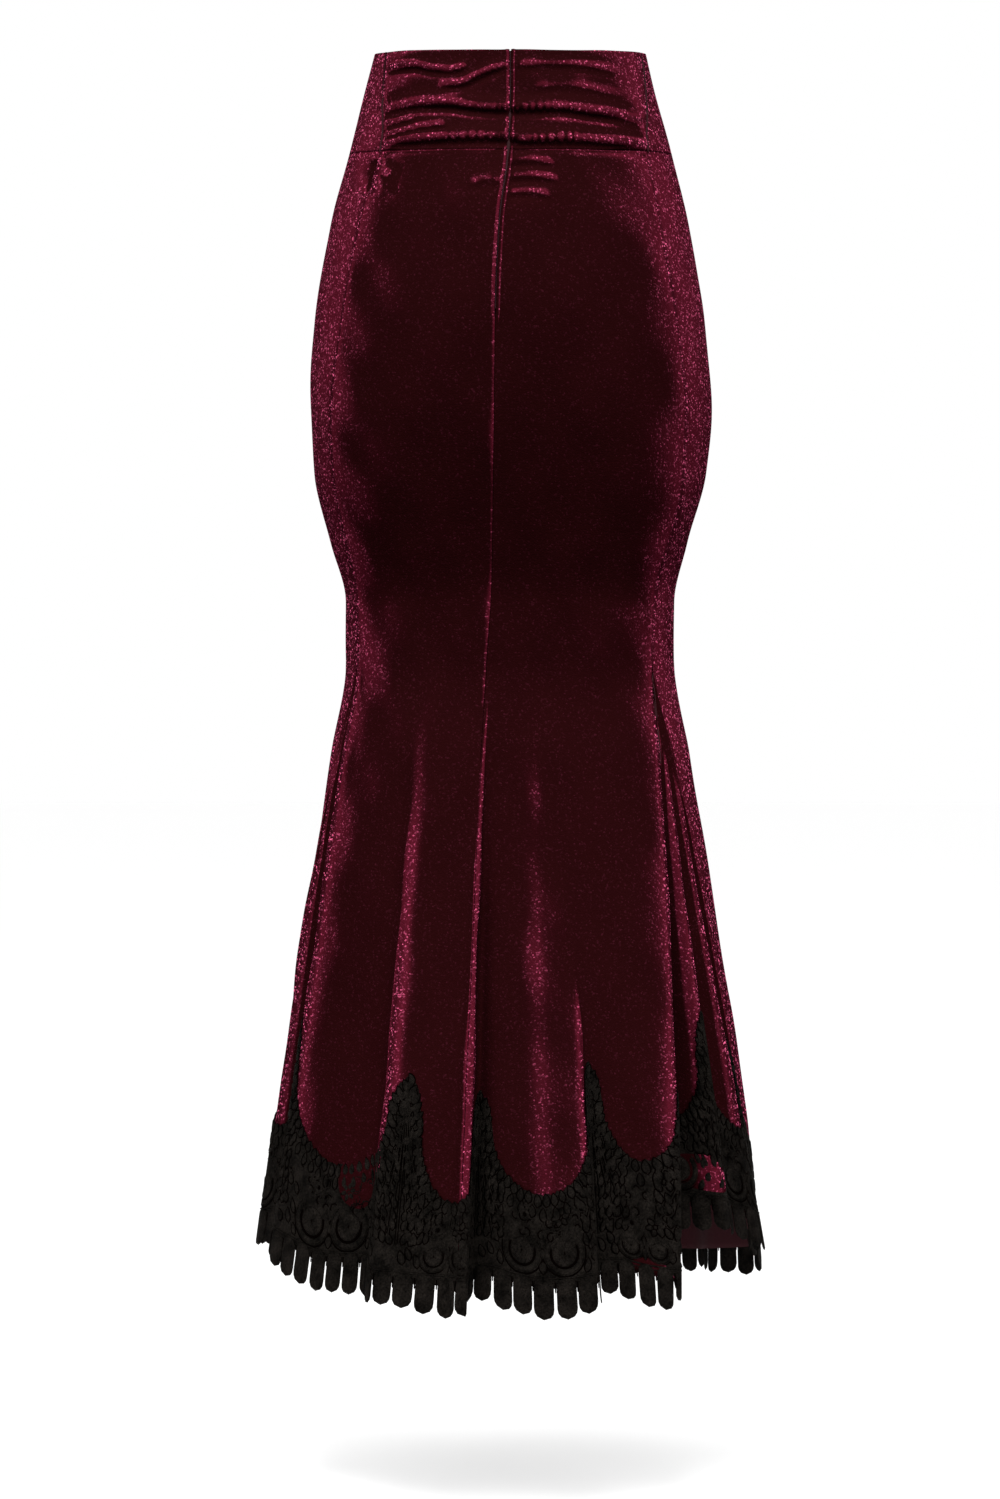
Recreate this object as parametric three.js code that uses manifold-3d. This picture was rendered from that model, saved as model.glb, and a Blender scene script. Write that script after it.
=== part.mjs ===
// A floor-length mermaid skirt, worn: a close-fitting waist yoke, two back panels and a front panel of velvet,
// a godet let into each side seam from the knee down, a concealed zip in the centre back seam, and a border
// of black lace sewn over the hem. The wearer holds it at the waist, so the origin is the waist edge's middle.
// +Z is up, the back faces +Y and the wearer's right is -X. Lengths are in millimetres and angles in degrees.
//
// A place on the cloth is given by its bearing, the angle round from the centre back seam towards the wearer's
// right, and its drop, the distance below the waist edge.
import * as THREE from "three";
import { mergeVertices } from "three/addons/utils/BufferGeometryUtils.js";
import Module from "manifold-3d";

const wasm = await Module();
wasm.setup();

// Driving dimensions
const VELVET = 1.4; // wall of the velvet
const LACE = 1.0; // wall of the lace
const SEAM_GAP = 0.3; // between two pieces at a seam
const YOKE_DROP = 87; // the seam between the yoke and the panels
const KNEE_DROP = 520; // where the flare and the godets start
const HEM_DROP = 1028; // the flare's sections are given at this drop
const GODET_TIP = 10; // how far below the knee the godets' cut-off points lie
const BACK_DIP = 10; // how much lower the waist edge and the yoke seam lie at the centre back
const ZIP = { drop: 226, width: 3.4, proud: 0.5, depth: 2.2 };
const MERGE = 1e-4; // points of one solid that lie nearer than this are one
const LACE_EDGE = { below: 14, scallop: 12, spare: 2, arch: 0.37, spring: 0.6, margin: 8, steps: 2 };
const LACE_BEND = { tip: 0.36, scallop: 0.6 }; // lower powers are blunter peaks and fuller scallops
const SIDE_SEAM = { left: -60, right: 67 }; // bearings of the side seams at the knee, as in the fold table
const ROWS = { hip: 2, thigh: 5, flare: 4, lace: 2 };
const YOKE_COLUMNS = { back: 7, front: 16 };

// The yoke's soft rolls: how far it stands out from the figure at each drop.
const YOKE_ROLLS = [
  { drop: 0, out: 0 },
  { drop: 12, out: 1.5 },
  { drop: 24, out: -1 },
  { drop: 34, out: 2 },
  { drop: 46, out: -1.5 },
  { drop: 60, out: 2.5 },
  { drop: 74, out: -1 },
  { drop: YOKE_DROP, out: 0 },
];

// The figure that the skirt is cut for: half width, depth behind and before the centre, how far the centre back
// seam has swung towards the wearer's left, and how far round the side seams lie, as a share of the knee's.
const SECTIONS = [
  { drop: 0, halfWidth: 116, back: 92, front: 88, swing: 0, seam: 1.09 },
  { drop: 40, halfWidth: 126, back: 99, front: 93, swing: 0, seam: 0.97 },
  { drop: 87, halfWidth: 138, back: 110, front: 100, swing: 0.7, seam: 0.86 },
  { drop: 150, halfWidth: 154, back: 124, front: 106, swing: 3.4, seam: 0.87 },
  { drop: 230, halfWidth: 167, back: 131, front: 109, swing: 4.3, seam: 0.91 },
  { drop: 300, halfWidth: 172, back: 128, front: 108, swing: 4.4, seam: 0.95 },
  { drop: 360, halfWidth: 168, back: 119, front: 106, swing: 4.8, seam: 0.98 },
  { drop: 420, halfWidth: 153, back: 107, front: 102, swing: 5.6, seam: 1 },
  { drop: 470, halfWidth: 141, back: 99, front: 98, swing: 6.6, seam: 1 },
  { drop: 520, halfWidth: 141, back: 98, front: 98, swing: 8, seam: 1 },
  { drop: 600, halfWidth: 154, back: 111, front: 110, swing: 9.2, seam: 1 },
  { drop: 1028, halfWidth: 216, back: 190, front: 186, swing: 11.3, seam: 1 },
];

// The folds, in order round from the centre back: each is a line down the cloth, at one bearing at the knee and
// another at the hem, which is a crest (out above 0) or a hollow (out below 0) of the hem. Its reach is how far it
// runs up from the hem, and its drop is the velvet's lower edge there. A crest may overhang the hollow beside it.
const FOLDS = [
  { knee: 0, hem: 0, out: 8, reach: 480, drop: 1030, seam: "centre back" },
  { knee: 0.8, hem: 1.8, out: 7, reach: 480, drop: 1030 },
  { knee: 1.8, hem: 1.2, out: -10, reach: 480, drop: 1027 },
  { knee: 3, hem: 2.6, out: -19, reach: 480, drop: 1024 },
  { knee: 6, hem: 7, out: -12, reach: 480, drop: 1024 },
  { knee: 10, hem: 13, out: -2, reach: 480, drop: 1028 },
  { knee: 16, hem: 20.6, out: 8, reach: 480, drop: 1031 },
  { knee: 24, hem: 30, out: 5, reach: 300, drop: 1029 },
  { knee: 26.5, hem: 32, out: -9, reach: 260, drop: 1021 },
  { knee: 31, hem: 37, out: -7, reach: 260, drop: 1020 },
  { knee: 44, hem: 44, out: 2, reach: 400, drop: 1026 },
  { knee: 64, hem: 49.5, out: 9, reach: 490, drop: 1030 },
  { knee: 67, hem: 51.5, out: -4, reach: 480, drop: 1018, seam: "right back" },
  { knee: 67, hem: 54, out: -20, reach: 400, drop: 1000 },
  { knee: 67, hem: 60, out: -28, reach: 380, drop: 972 },
  { knee: 67, hem: 68, out: 6, reach: 380, drop: 978 },
  { knee: 67, hem: 79, out: -10, reach: 380, drop: 984 },
  { knee: 67, hem: 91, out: 4, reach: 380, drop: 1000 },
  { knee: 67, hem: 103, out: -10, reach: 380, drop: 1014 },
  { knee: 67, hem: 110, out: 0, reach: 380, drop: 1024, seam: "right front" },
  { knee: 80, hem: 118, out: 9, reach: 470, drop: 1034 },
  { knee: 104, hem: 132, out: -11, reach: 400, drop: 1042 },
  { knee: 129, hem: 146, out: 9, reach: 460, drop: 1050 },
  { knee: 151, hem: 159, out: -9, reach: 330, drop: 1052 },
  { knee: 173, hem: 172, out: 8, reach: 440, drop: 1056 },
  { knee: 196, hem: 185, out: -11, reach: 380, drop: 1054 },
  { knee: 219, hem: 199, out: 10, reach: 470, drop: 1054 },
  { knee: 242, hem: 212, out: -8, reach: 300, drop: 1048 },
  { knee: 266, hem: 226, out: 8, reach: 450, drop: 1042 },
  { knee: 288, hem: 239, out: -10, reach: 420, drop: 1030 },
  { knee: 300, hem: 246, out: -2, reach: 380, drop: 1024, seam: "left front" },
  { knee: 300, hem: 254, out: 9, reach: 380, drop: 1018 },
  { knee: 300, hem: 265, out: -12, reach: 380, drop: 1008 },
  { knee: 300, hem: 277, out: 4, reach: 380, drop: 1004 },
  { knee: 300, hem: 289, out: -18, reach: 380, drop: 996 },
  { knee: 300, hem: 298, out: -16, reach: 400, drop: 998 },
  { knee: 300, hem: 303, out: -4, reach: 400, drop: 1002, seam: "left back" },
  { knee: 302.5, hem: 306, out: 8, reach: 490, drop: 1006 },
  { knee: 309, hem: 313, out: 3, reach: 460, drop: 1012 },
  { knee: 321, hem: 324, out: -5, reach: 460, drop: 1020 },
  { knee: 333, hem: 335.5, out: -8, reach: 470, drop: 1018 },
  { knee: 341.5, hem: 341, out: 8, reach: 480, drop: 1028 },
  { knee: 350, hem: 350, out: 3, reach: 420, drop: 1030 },
  { knee: 357, hem: 356.5, out: 2, reach: 300, drop: 1030 },
];

// The pieces below the yoke, in order round from the centre back, with their columns to each fold.
const PIECES = [
  { name: "back_panel_right", from: "centre back", to: "right back", columns: 2 },
  { name: "godet_right", from: "right back", to: "right front", columns: 2 },
  { name: "front_panel", from: "right front", to: "left front", columns: 2 },
  { name: "godet_left", from: "left front", to: "left back", columns: 2 },
  { name: "back_panel_left", from: "left back", to: "centre back", columns: 2 },
].map((piece) => {
  const at = (seam) => FOLDS.findIndex((row) => row.seam === seam);
  const places = [at(piece.from), at(piece.to) || FOLDS.length];
  return { ...piece, places, columns: piece.columns * (places[1] - places[0]) };
});

// The peaks of the lace's upper edge: how far each lies round the hem from the centre back, its height above the
// hem, and the height of the arch that follows it.
const LACE_PEAKS = [
  { at: 36, peak: 150, arch: 74 },
  { at: 166, peak: 170, arch: 92 },
  { at: 247, peak: 150, arch: 62 },
  { at: 372, peak: 166, arch: 78 },
  { at: 500, peak: 182, arch: 82 },
  { at: 630, peak: 170, arch: 76 },
  { at: 757, peak: 184, arch: 80 },
  { at: 884, peak: 174, arch: 78 },
  { at: 1010, peak: 182, arch: 74 },
  { at: 1136, peak: 168, arch: 80 },
  { at: 1266, peak: 194, arch: 80 },
  { at: 1435, peak: 168, arch: 66 },
];

const radians = THREE.MathUtils.degToRad;
const lerp = THREE.MathUtils.lerp;
const clamp = THREE.MathUtils.clamp;

// The value at x of one column of a table, by a smooth curve with no overshoot through its rows.
function along(table, key, x, column) {
  const last = table.length - 1;
  const i = clamp(table.findIndex((row) => row[key] > x) - 1, 0, last - 1);
  const k = x >= table[last][key] ? last - 1 : i;
  const step = (j) => table[j + 1][key] - table[j][key];
  const slope = (j) => (table[j + 1][column] - table[j][column]) / step(j);
  const tangent = (j) => {
    if (j <= 0) return slope(0);
    if (j >= last) return slope(last - 1);
    const [before, after] = [slope(j - 1), slope(j)];
    return before * after <= 0 ? 0 : (2 * before * after) / (before + after);
  };
  const t = (x - table[k][key]) / step(k);
  if (t > 1) return table[last][column] + (x - table[last][key]) * tangent(last);
  const [a, b] = [table[k][column], table[k + 1][column]];
  return (
    (2 * t ** 3 - 3 * t ** 2 + 1) * a +
    (t ** 3 - 2 * t ** 2 + t) * step(k) * tangent(k) +
    (3 * t ** 2 - 2 * t ** 3) * b +
    (t ** 3 - t ** 2) * step(k) * tangent(k + 1)
  );
}

const section = (drop, column) => along(SECTIONS, "drop", drop, column);

// The fold table once round, with rows before and after so that its curve closes on itself.
const turned = (row, turns) => ({ ...row, knee: row.knee + 360 * turns, hem: row.hem + 360 * turns });
const ROUND = [turned(FOLDS.at(-1), -1), ...FOLDS, turned(FOLDS[0], 1), turned(FOLDS[1], 1)].map(
  (row, i) => ({ ...row, place: i - 1 }),
);

// A place on the folds is a number that counts the table's rows.
const fold = (place, column) => along(ROUND, "place", place, column);

const dip = (bearing, drop) =>
  BACK_DIP * ((1 + Math.cos(radians(bearing))) / 2) ** 2 * clamp(1 - drop / 300, 0, 1);

// A point of the figure's smooth outline, moved out by a distance.
function onFigure(bearing, drop, out = 0) {
  const turned = radians(bearing - section(drop, "swing"));
  const [s, c] = [Math.sin(turned), Math.cos(turned)];
  const depth = section(drop, c > 0 ? "back" : "front");
  return new THREE.Vector3(
    -(section(drop, "halfWidth") + out) * s,
    (depth + out) * c,
    -drop - dip(bearing, drop),
  );
}

// A point of the flare: v runs from 0 at the knee to 1 at the hem, and on past it.
function onFlare(place, v) {
  const hem = fold(place, "drop");
  const drop = lerp(KNEE_DROP, hem, v);
  const reach = Math.min(fold(place, "reach"), hem - KNEE_DROP);
  const strength = Math.max(0, 1 - (hem - drop) / reach);
  return onFigure(lerp(fold(place, "knee"), fold(place, "hem"), v), drop, fold(place, "out") * strength);
}

// Lengths along the hem from the centre back seam, at small steps of the folds.
const HEM_STEPS = 40;
const hemLengths = [0];
for (let i = 1; i <= FOLDS.length * HEM_STEPS; i++) {
  const [a, b] = [i - 1, i].map((n) => onFlare(n / HEM_STEPS, 1));
  hemLengths.push(hemLengths.at(-1) + a.distanceTo(b));
}
const girth = hemLengths.at(-1);
const PEAKS_ROUND = [-1, 0, 1].flatMap((turn) =>
  LACE_PEAKS.map((row, i) => ({ ...row, at: row.at + turn * girth, repeat: i + turn * LACE_PEAKS.length })),
);

// How far round the hem a place on the folds lies, and which lace repeat it is in.
function alongHem(place) {
  const i = clamp(Math.floor(place * HEM_STEPS), 0, hemLengths.length - 2);
  return lerp(hemLengths[i], hemLengths[i + 1], place * HEM_STEPS - i);
}
const repeatAt = (place) => along(PEAKS_ROUND, "at", alongHem(place), "repeat");

// A grid of cloth is columns of points: columns run round with the bearing and rows run down. Its outward unit
// normals look past neighbours that share a place, as a godet's columns do at its point, and round the join of a
// closed grid. The first and last rows are cut level.
function normalsOf(grid) {
  const [columns, rows] = [grid.length, grid[0].length];
  const same = (p, q) => p.distanceTo(q) < 0.01;
  const closed = same(grid[0][0], grid[columns - 1][0]);
  const beyond = (c, r, step) => {
    let k = c;
    while (same(grid[k][r], grid[c][r])) {
      if (!closed && (k + step < 0 || k + step === columns)) break;
      k = (k + step + columns) % columns;
    }
    return grid[k][r];
  };
  return grid.map((column, c) =>
    column.map((_, r) => {
      const across = beyond(c, r, 1).clone().sub(beyond(c, r, -1));
      const down = column[Math.min(r + 1, rows - 1)].clone().sub(column[Math.max(r - 1, 0)]);
      const normal = down.cross(across);
      if (r === 0 || r === rows - 1) normal.z = 0;
      return normal.normalize();
    }),
  );
}

// A closed wall between the outer and the inner distance from a grid, along its normals.
function wall(grid, normals, outer, inner) {
  const [columns, rows] = [grid.length, grid[0].length];
  const skin = (distance) =>
    grid.flatMap((column, c) =>
      column.map((p, r) => p.clone().addScaledVector(normals[c][r], distance)),
    );
  const id = (c, r, side) => side * columns * rows + c * rows + r;
  const index = [];
  const quad = (a, b, c, d) => index.push(a, b, c, a, c, d);
  const [right, low] = [columns - 1, rows - 1];
  for (let c = 0; c < right; c++) {
    for (let r = 0; r < low; r++) {
      quad(id(c, r, 0), id(c, r + 1, 0), id(c + 1, r + 1, 0), id(c + 1, r, 0));
      quad(id(c, r, 1), id(c + 1, r, 1), id(c + 1, r + 1, 1), id(c, r + 1, 1));
    }
    quad(id(c, 0, 1), id(c, 0, 0), id(c + 1, 0, 0), id(c + 1, 0, 1));
    quad(id(c, low, 0), id(c, low, 1), id(c + 1, low, 1), id(c + 1, low, 0));
  }
  for (let r = 0; r < low; r++) {
    quad(id(0, r, 1), id(0, r + 1, 1), id(0, r + 1, 0), id(0, r, 0));
    quad(id(right, r + 1, 0), id(right, r + 1, 1), id(right, r, 1), id(right, r, 0));
  }
  const geometry = new THREE.BufferGeometry().setFromPoints([...skin(outer), ...skin(inner)]);
  return geometry.setIndex(index);
}

// The part of a whole grid that one piece takes, with its two side edges drawn in from the seams and the columns
// between them following.
function pieceOf(grid, normals, from, to, rowFrom = 0) {
  const points = grid.slice(from, to + 1).map((column, c) =>
    column.slice(rowFrom).map((p, r) => {
      const share = 1 - (2 * c) / (to - from);
      if (share === 0) return p.clone();
      const atBack = share > 0 ? from === 0 : to === grid.length - 1;
      const besideZip = atBack && -p.z < ZIP.drop + BACK_DIP;
      const gap = besideZip ? ZIP.width / 2 + SEAM_GAP : SEAM_GAP / 2;
      const way = grid[from + c + Math.sign(share)][rowFrom + r].clone().sub(p).normalize();
      return p.clone().addScaledVector(way, gap * Math.abs(share));
    }),
  );
  return { points, normals: normals.slice(from, to + 1).map((column) => column.slice(rowFrom)) };
}

const evenly = (from, to, steps) =>
  Array.from({ length: steps + 1 }, (_, i) => lerp(from, to, i / steps));

// A bearing moved with the side seams, which leaves the centre back and the centre front where they are.
function seamed(bearing, share) {
  const turns = Math.floor((bearing + 180) / 360) * 360;
  const own = bearing - turns;
  const side = own < 0 ? SIDE_SEAM.left : SIDE_SEAM.right;
  const front = own < 0 ? -180 : 180;
  const past = (own - side) / (front - side);
  return turns + (past < 0 ? own * share : lerp(side * share, front, past));
}

// The yoke all round, from the centre back to the centre back.
function yokeGrid() {
  const { left, right } = SIDE_SEAM;
  const bearings = [
    ...evenly(0, right, YOKE_COLUMNS.back),
    ...evenly(right, 360 + left, YOKE_COLUMNS.front).slice(1),
    ...evenly(360 + left, 360, YOKE_COLUMNS.back).slice(1),
  ];
  return bearings.map((bearing) =>
    YOKE_ROLLS.map(({ drop, out }) => {
      const p = onFigure(seamed(bearing, section(drop, "seam")), drop, out);
      return drop === YOKE_DROP ? p.setZ(p.z + SEAM_GAP / 2) : p;
    }),
  );
}

// The rows of the skirt below the yoke: drops down to the knee, and heights above the hem from there.
const highestPeak = Math.max(...LACE_PEAKS.map((row) => row.peak));
const laceRows = evenly(highestPeak + LACE_EDGE.margin, 0, ROWS.lace);
const flareTop = HEM_DROP - KNEE_DROP;
const flareRows = [flareTop, ...evenly(flareTop - GODET_TIP, laceRows[0], ROWS.flare), ...laceRows.slice(1)];
const bodyRows = [
  ...evenly(YOKE_DROP, ZIP.drop, ROWS.hip),
  ...evenly(ZIP.drop, KNEE_DROP, ROWS.thigh).slice(1),
];

// The share of the way from the knee to the hem, v, that lies at a height above the hem.
function shareAt(place, height) {
  const own = fold(place, "drop") - KNEE_DROP;
  if (height <= laceRows[0]) return 1 - height / own;
  const plain = (flareTop - height) / (flareTop - laceRows[0]);
  return plain * (1 - laceRows[0] / own);
}

// The skirt below the yoke, all round, from the centre back to the centre back.
function skirtGrid() {
  const places = PIECES.flatMap(({ places, columns }, i) => evenly(...places, columns).slice(i ? 1 : 0));
  return places.map((place) => [
    ...bodyRows.map((drop) => {
      const p = onFigure(seamed(fold(place, "knee"), section(drop, "seam")), drop);
      return drop === YOKE_DROP ? p.setZ(p.z - SEAM_GAP / 2) : p;
    }),
    ...flareRows.slice(1).map((height) => onFlare(place, shareAt(place, height))),
  ]);
}

// Height of the lace's upper edge above the hem: an arch between two peaks.
function laceTop(repeat) {
  const before = PEAKS_ROUND.find((row) => row.repeat === Math.floor(repeat));
  const after = PEAKS_ROUND.find((row) => row.repeat === Math.floor(repeat) + 1);
  const fromMiddle = Math.abs(repeat - before.repeat - 0.5);
  const peak = repeat - before.repeat < 0.5 ? before.peak : after.peak;
  const spring = lerp(before.arch, peak, LACE_EDGE.spring);
  const across = fromMiddle / LACE_EDGE.arch;
  if (across < 1) return lerp(before.arch, spring, 1 - Math.sqrt(1 - across ** 2));
  const past = (fromMiddle - LACE_EDGE.arch) / (0.5 - LACE_EDGE.arch);
  return lerp(spring, peak, past ** LACE_BEND.tip);
}

// Height of the lace's lower edge, which hangs below the hem in one deep scallop to each arch.
const laceBottom = (repeat) =>
  -LACE_EDGE.below - LACE_EDGE.scallop * Math.abs(Math.sin(Math.PI * repeat)) ** LACE_BEND.scallop;

const toSolid = (geometry) => {
  const merged = mergeVertices(geometry, MERGE);
  return new wasm.Manifold(
    new wasm.Mesh({
      numProp: 3,
      vertProperties: merged.attributes.position.array,
      triVerts: new Uint32Array(merged.index.array),
    }),
  );
};

const toGeometry = (solid) => {
  const mesh = solid.getMesh();
  const points = Array.from({ length: mesh.numVert }, (_, i) =>
    new THREE.Vector3().fromArray(mesh.vertProperties, i * mesh.numProp),
  );
  return new THREE.BufferGeometry().setFromPoints(points).setIndex([...mesh.triVerts]);
};

// The lace over one piece: the piece's own rows near the hem, moved out and carried on below it, and cut to the
// lace's two edges by a thicker wall that has them.
function lace({ points, normals }, places) {
  const low = LACE_EDGE.below + LACE_EDGE.scallop + LACE_EDGE.spare;
  const strip = points.map((column) => {
    const way = column.at(-1).clone().sub(column.at(-2)).normalize();
    return [...column.slice(-laceRows.length), column.at(-1).clone().addScaledVector(way, low)];
  });
  const stripNormals = normals.map((column) => [...column.slice(-laceRows.length), column.at(-1)]);
  const shell = toSolid(wall(strip, stripNormals, SEAM_GAP + LACE, SEAM_GAP));

  const heights = [...laceRows, -low];
  const last = strip.length - 1;
  const between = (grid, s, height) => {
    const c = Math.min(Math.floor(clamp(s, 0, 1) * last), last - 1);
    const r = clamp(heights.findIndex((h) => h < height) - 1, 0, heights.length - 2);
    const [x, y] = [s * last - c, (heights[r] - height) / (heights[r] - heights[r + 1])];
    const near = grid[c][r].clone().lerp(grid[c][r + 1], y);
    return near.lerp(grid[c + 1][r].clone().lerp(grid[c + 1][r + 1], y), x);
  };
  const past = 2 / (alongHem(places[1]) - alongHem(places[0]));
  const steps = [-past, ...evenly(0, 1, last * LACE_EDGE.steps), 1 + past];
  const cut = (grid, margin) =>
    steps.map((s) => {
      const kept = clamp(s, -margin, 1 + margin);
      const repeat = repeatAt(lerp(...places, clamp(s, 0, 1)));
      return evenly(laceTop(repeat), laceBottom(repeat), 2).map((h) => between(grid, kept, h));
    });
  const cutter = wall(cut(strip, past), cut(stripNormals, 0), SEAM_GAP + LACE + 0.5, SEAM_GAP - 0.5);
  return toGeometry(shell.intersect(toSolid(cutter)));
}

// The zip: a slim bead from the waist edge down, in the slot that the back pieces leave along their seam.
function zip() {
  const onPanels = bodyRows.slice(1).filter((drop) => drop <= ZIP.drop);
  const drops = [...YOKE_ROLLS.map((row) => row.drop), ...onPanels];
  const grid = [-1, 1].map((side) =>
    drops.map((drop) => {
      const out = drop < YOKE_DROP ? along(YOKE_ROLLS, "drop", drop, "out") : 0;
      const p = onFigure(0, drop, out);
      return p.setX(p.x - (side * ZIP.width) / 2);
    }),
  );
  return wall(grid, normalsOf(grid), ZIP.proud, ZIP.proud - ZIP.depth);
}

const velvet = { color: 0x4a0f1e, roughness: 0.8, metalness: 0 };
const blackLace = { color: 0x1b1a19, roughness: 0.9, metalness: 0 };
const zipTape = { color: 0x3c0c18, roughness: 0.6, metalness: 0 };

const skirt = new THREE.Group();
function add(name, geometry, finish) {
  geometry.computeVertexNormals();
  const mesh = new THREE.Mesh(geometry, new THREE.MeshStandardMaterial(finish));
  mesh.name = name;
  skirt.add(mesh);
}

const { back, front } = YOKE_COLUMNS;
const yoke = yokeGrid();
const yokeNormals = normalsOf(yoke);
for (const [name, from, to] of [
  ["yoke_back_right", 0, back],
  ["yoke_front", back, back + front],
  ["yoke_back_left", back + front, 2 * back + front],
]) {
  const { points, normals } = pieceOf(yoke, yokeNormals, from, to);
  add(name, wall(points, normals, 0, -VELVET), velvet);
}

const whole = skirtGrid();
const wholeNormals = normalsOf(whole);
let from = 0;
for (const { name, places, columns } of PIECES) {
  const firstRow = name.startsWith("godet") ? bodyRows.length : 0;
  const piece = pieceOf(whole, wholeNormals, from, from + columns, firstRow);
  add(name, wall(piece.points, piece.normals, 0, -VELVET), velvet);
  add(`lace_${name}`, lace(piece, places), blackLace);
  from += columns;
}
add("centre_back_zip", zip(), zipTape);

export default skirt;
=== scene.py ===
"""A worn mermaid skirt: wine panne velvet on a general figure, with side godets and a black lace border.

The skirt's back faces +Y, +Z is up and the wearer's right is -X. The origin is the middle of the waist edge.
A place on the cloth is given by its bearing, the angle in degrees round from the centre back seam towards the
wearer's right, and its drop, the distance below the waist edge. On the flare a place is a number that counts
the rows of FOLDS, with the share of the way to the next. Tables and shapes are in millimetres, and meshes are
in metres.
"""

from __future__ import annotations

import logging
import math
from dataclasses import dataclass, replace
from enum import Enum
from typing import ClassVar, Iterable, Sequence

import bpy
import numpy as np
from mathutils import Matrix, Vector

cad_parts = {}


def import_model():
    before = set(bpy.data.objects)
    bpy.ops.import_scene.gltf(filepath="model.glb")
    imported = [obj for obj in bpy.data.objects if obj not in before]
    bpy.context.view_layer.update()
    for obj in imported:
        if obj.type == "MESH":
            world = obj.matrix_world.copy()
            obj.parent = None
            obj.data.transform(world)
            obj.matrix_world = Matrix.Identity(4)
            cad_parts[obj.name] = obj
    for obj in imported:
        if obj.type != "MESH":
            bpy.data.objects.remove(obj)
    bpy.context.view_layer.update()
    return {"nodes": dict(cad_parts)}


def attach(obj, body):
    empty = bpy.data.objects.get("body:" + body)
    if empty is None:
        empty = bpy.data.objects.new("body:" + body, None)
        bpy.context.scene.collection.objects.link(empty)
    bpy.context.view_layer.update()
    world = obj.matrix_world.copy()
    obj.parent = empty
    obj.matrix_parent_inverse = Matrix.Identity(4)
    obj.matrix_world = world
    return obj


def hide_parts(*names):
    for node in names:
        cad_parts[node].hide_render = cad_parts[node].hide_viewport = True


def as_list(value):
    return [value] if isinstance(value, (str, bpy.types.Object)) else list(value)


Array = np.ndarray
Socket = bpy.types.NodeSocket
Object = bpy.types.Object

log = logging.getLogger("skirt")

MM = 0.001
YOKE_DROP = 87.0  # the seam between the yoke and the panels
KNEE_DROP = 520.0  # where the flare and the godets start
HEM_DROP = 1028.0  # the flare's sections are given at this drop
GODET_TIP = 10.0  # how far below the knee the godets' points lie
BACK_DIP = 10.0  # how much lower the waist edge and the yoke seam lie at the centre back
VELVET_WALL = 1.4
SEAM_GAP = 0.3
ZIP_GAP = 0.7  # from the centre back to each of the zip's lips


@dataclass(frozen=True)
class Section:
    """The figure's outline at one drop: half its width, its depth behind and before the centre, how far the
    centre back seam has swung towards the wearer's left, and how far round the side seams lie, as a share of
    the knee's."""

    drop: float
    half_width: float
    back: float
    front: float
    swing: float
    seam: float


SECTIONS = tuple(
    Section(*row)
    for row in (
        # drop, half width, back, front, swing, seam
        (0, 116, 92, 88, 0, 1.09),
        (40, 126, 99, 93, 0, 0.97),
        (87, 138, 110, 100, 0.7, 0.86),
        (150, 154, 124, 106, 3.4, 0.87),
        (230, 167, 131, 109, 4.3, 0.91),
        (300, 172, 128, 108, 4.4, 0.95),
        (360, 168, 119, 106, 4.8, 0.98),
        (420, 153, 107, 102, 5.6, 1),
        (470, 141, 99, 98, 6.6, 1),
        (520, 141, 98, 98, 8, 1),
        (600, 154, 111, 110, 9.2, 1),
        (1028, 216, 190, 186, 11.3, 1),
    )
)


class Seam(Enum):
    """The seams that run down to the hem, in order round from the centre back."""

    CENTRE_BACK = "centre back"
    RIGHT_BACK = "right back"
    RIGHT_FRONT = "right front"
    LEFT_FRONT = "left front"
    LEFT_BACK = "left back"


@dataclass(frozen=True)
class Fold:
    """A line down the flare, at one bearing at the knee and another at the hem, that is a crest (out above 0)
    or a hollow (out below 0) of the hem. It runs up its reach from the hem, and drop is the velvet's edge."""

    knee: float
    hem: float
    out: float
    reach: float
    drop: float
    seam: Seam | None = None


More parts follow.
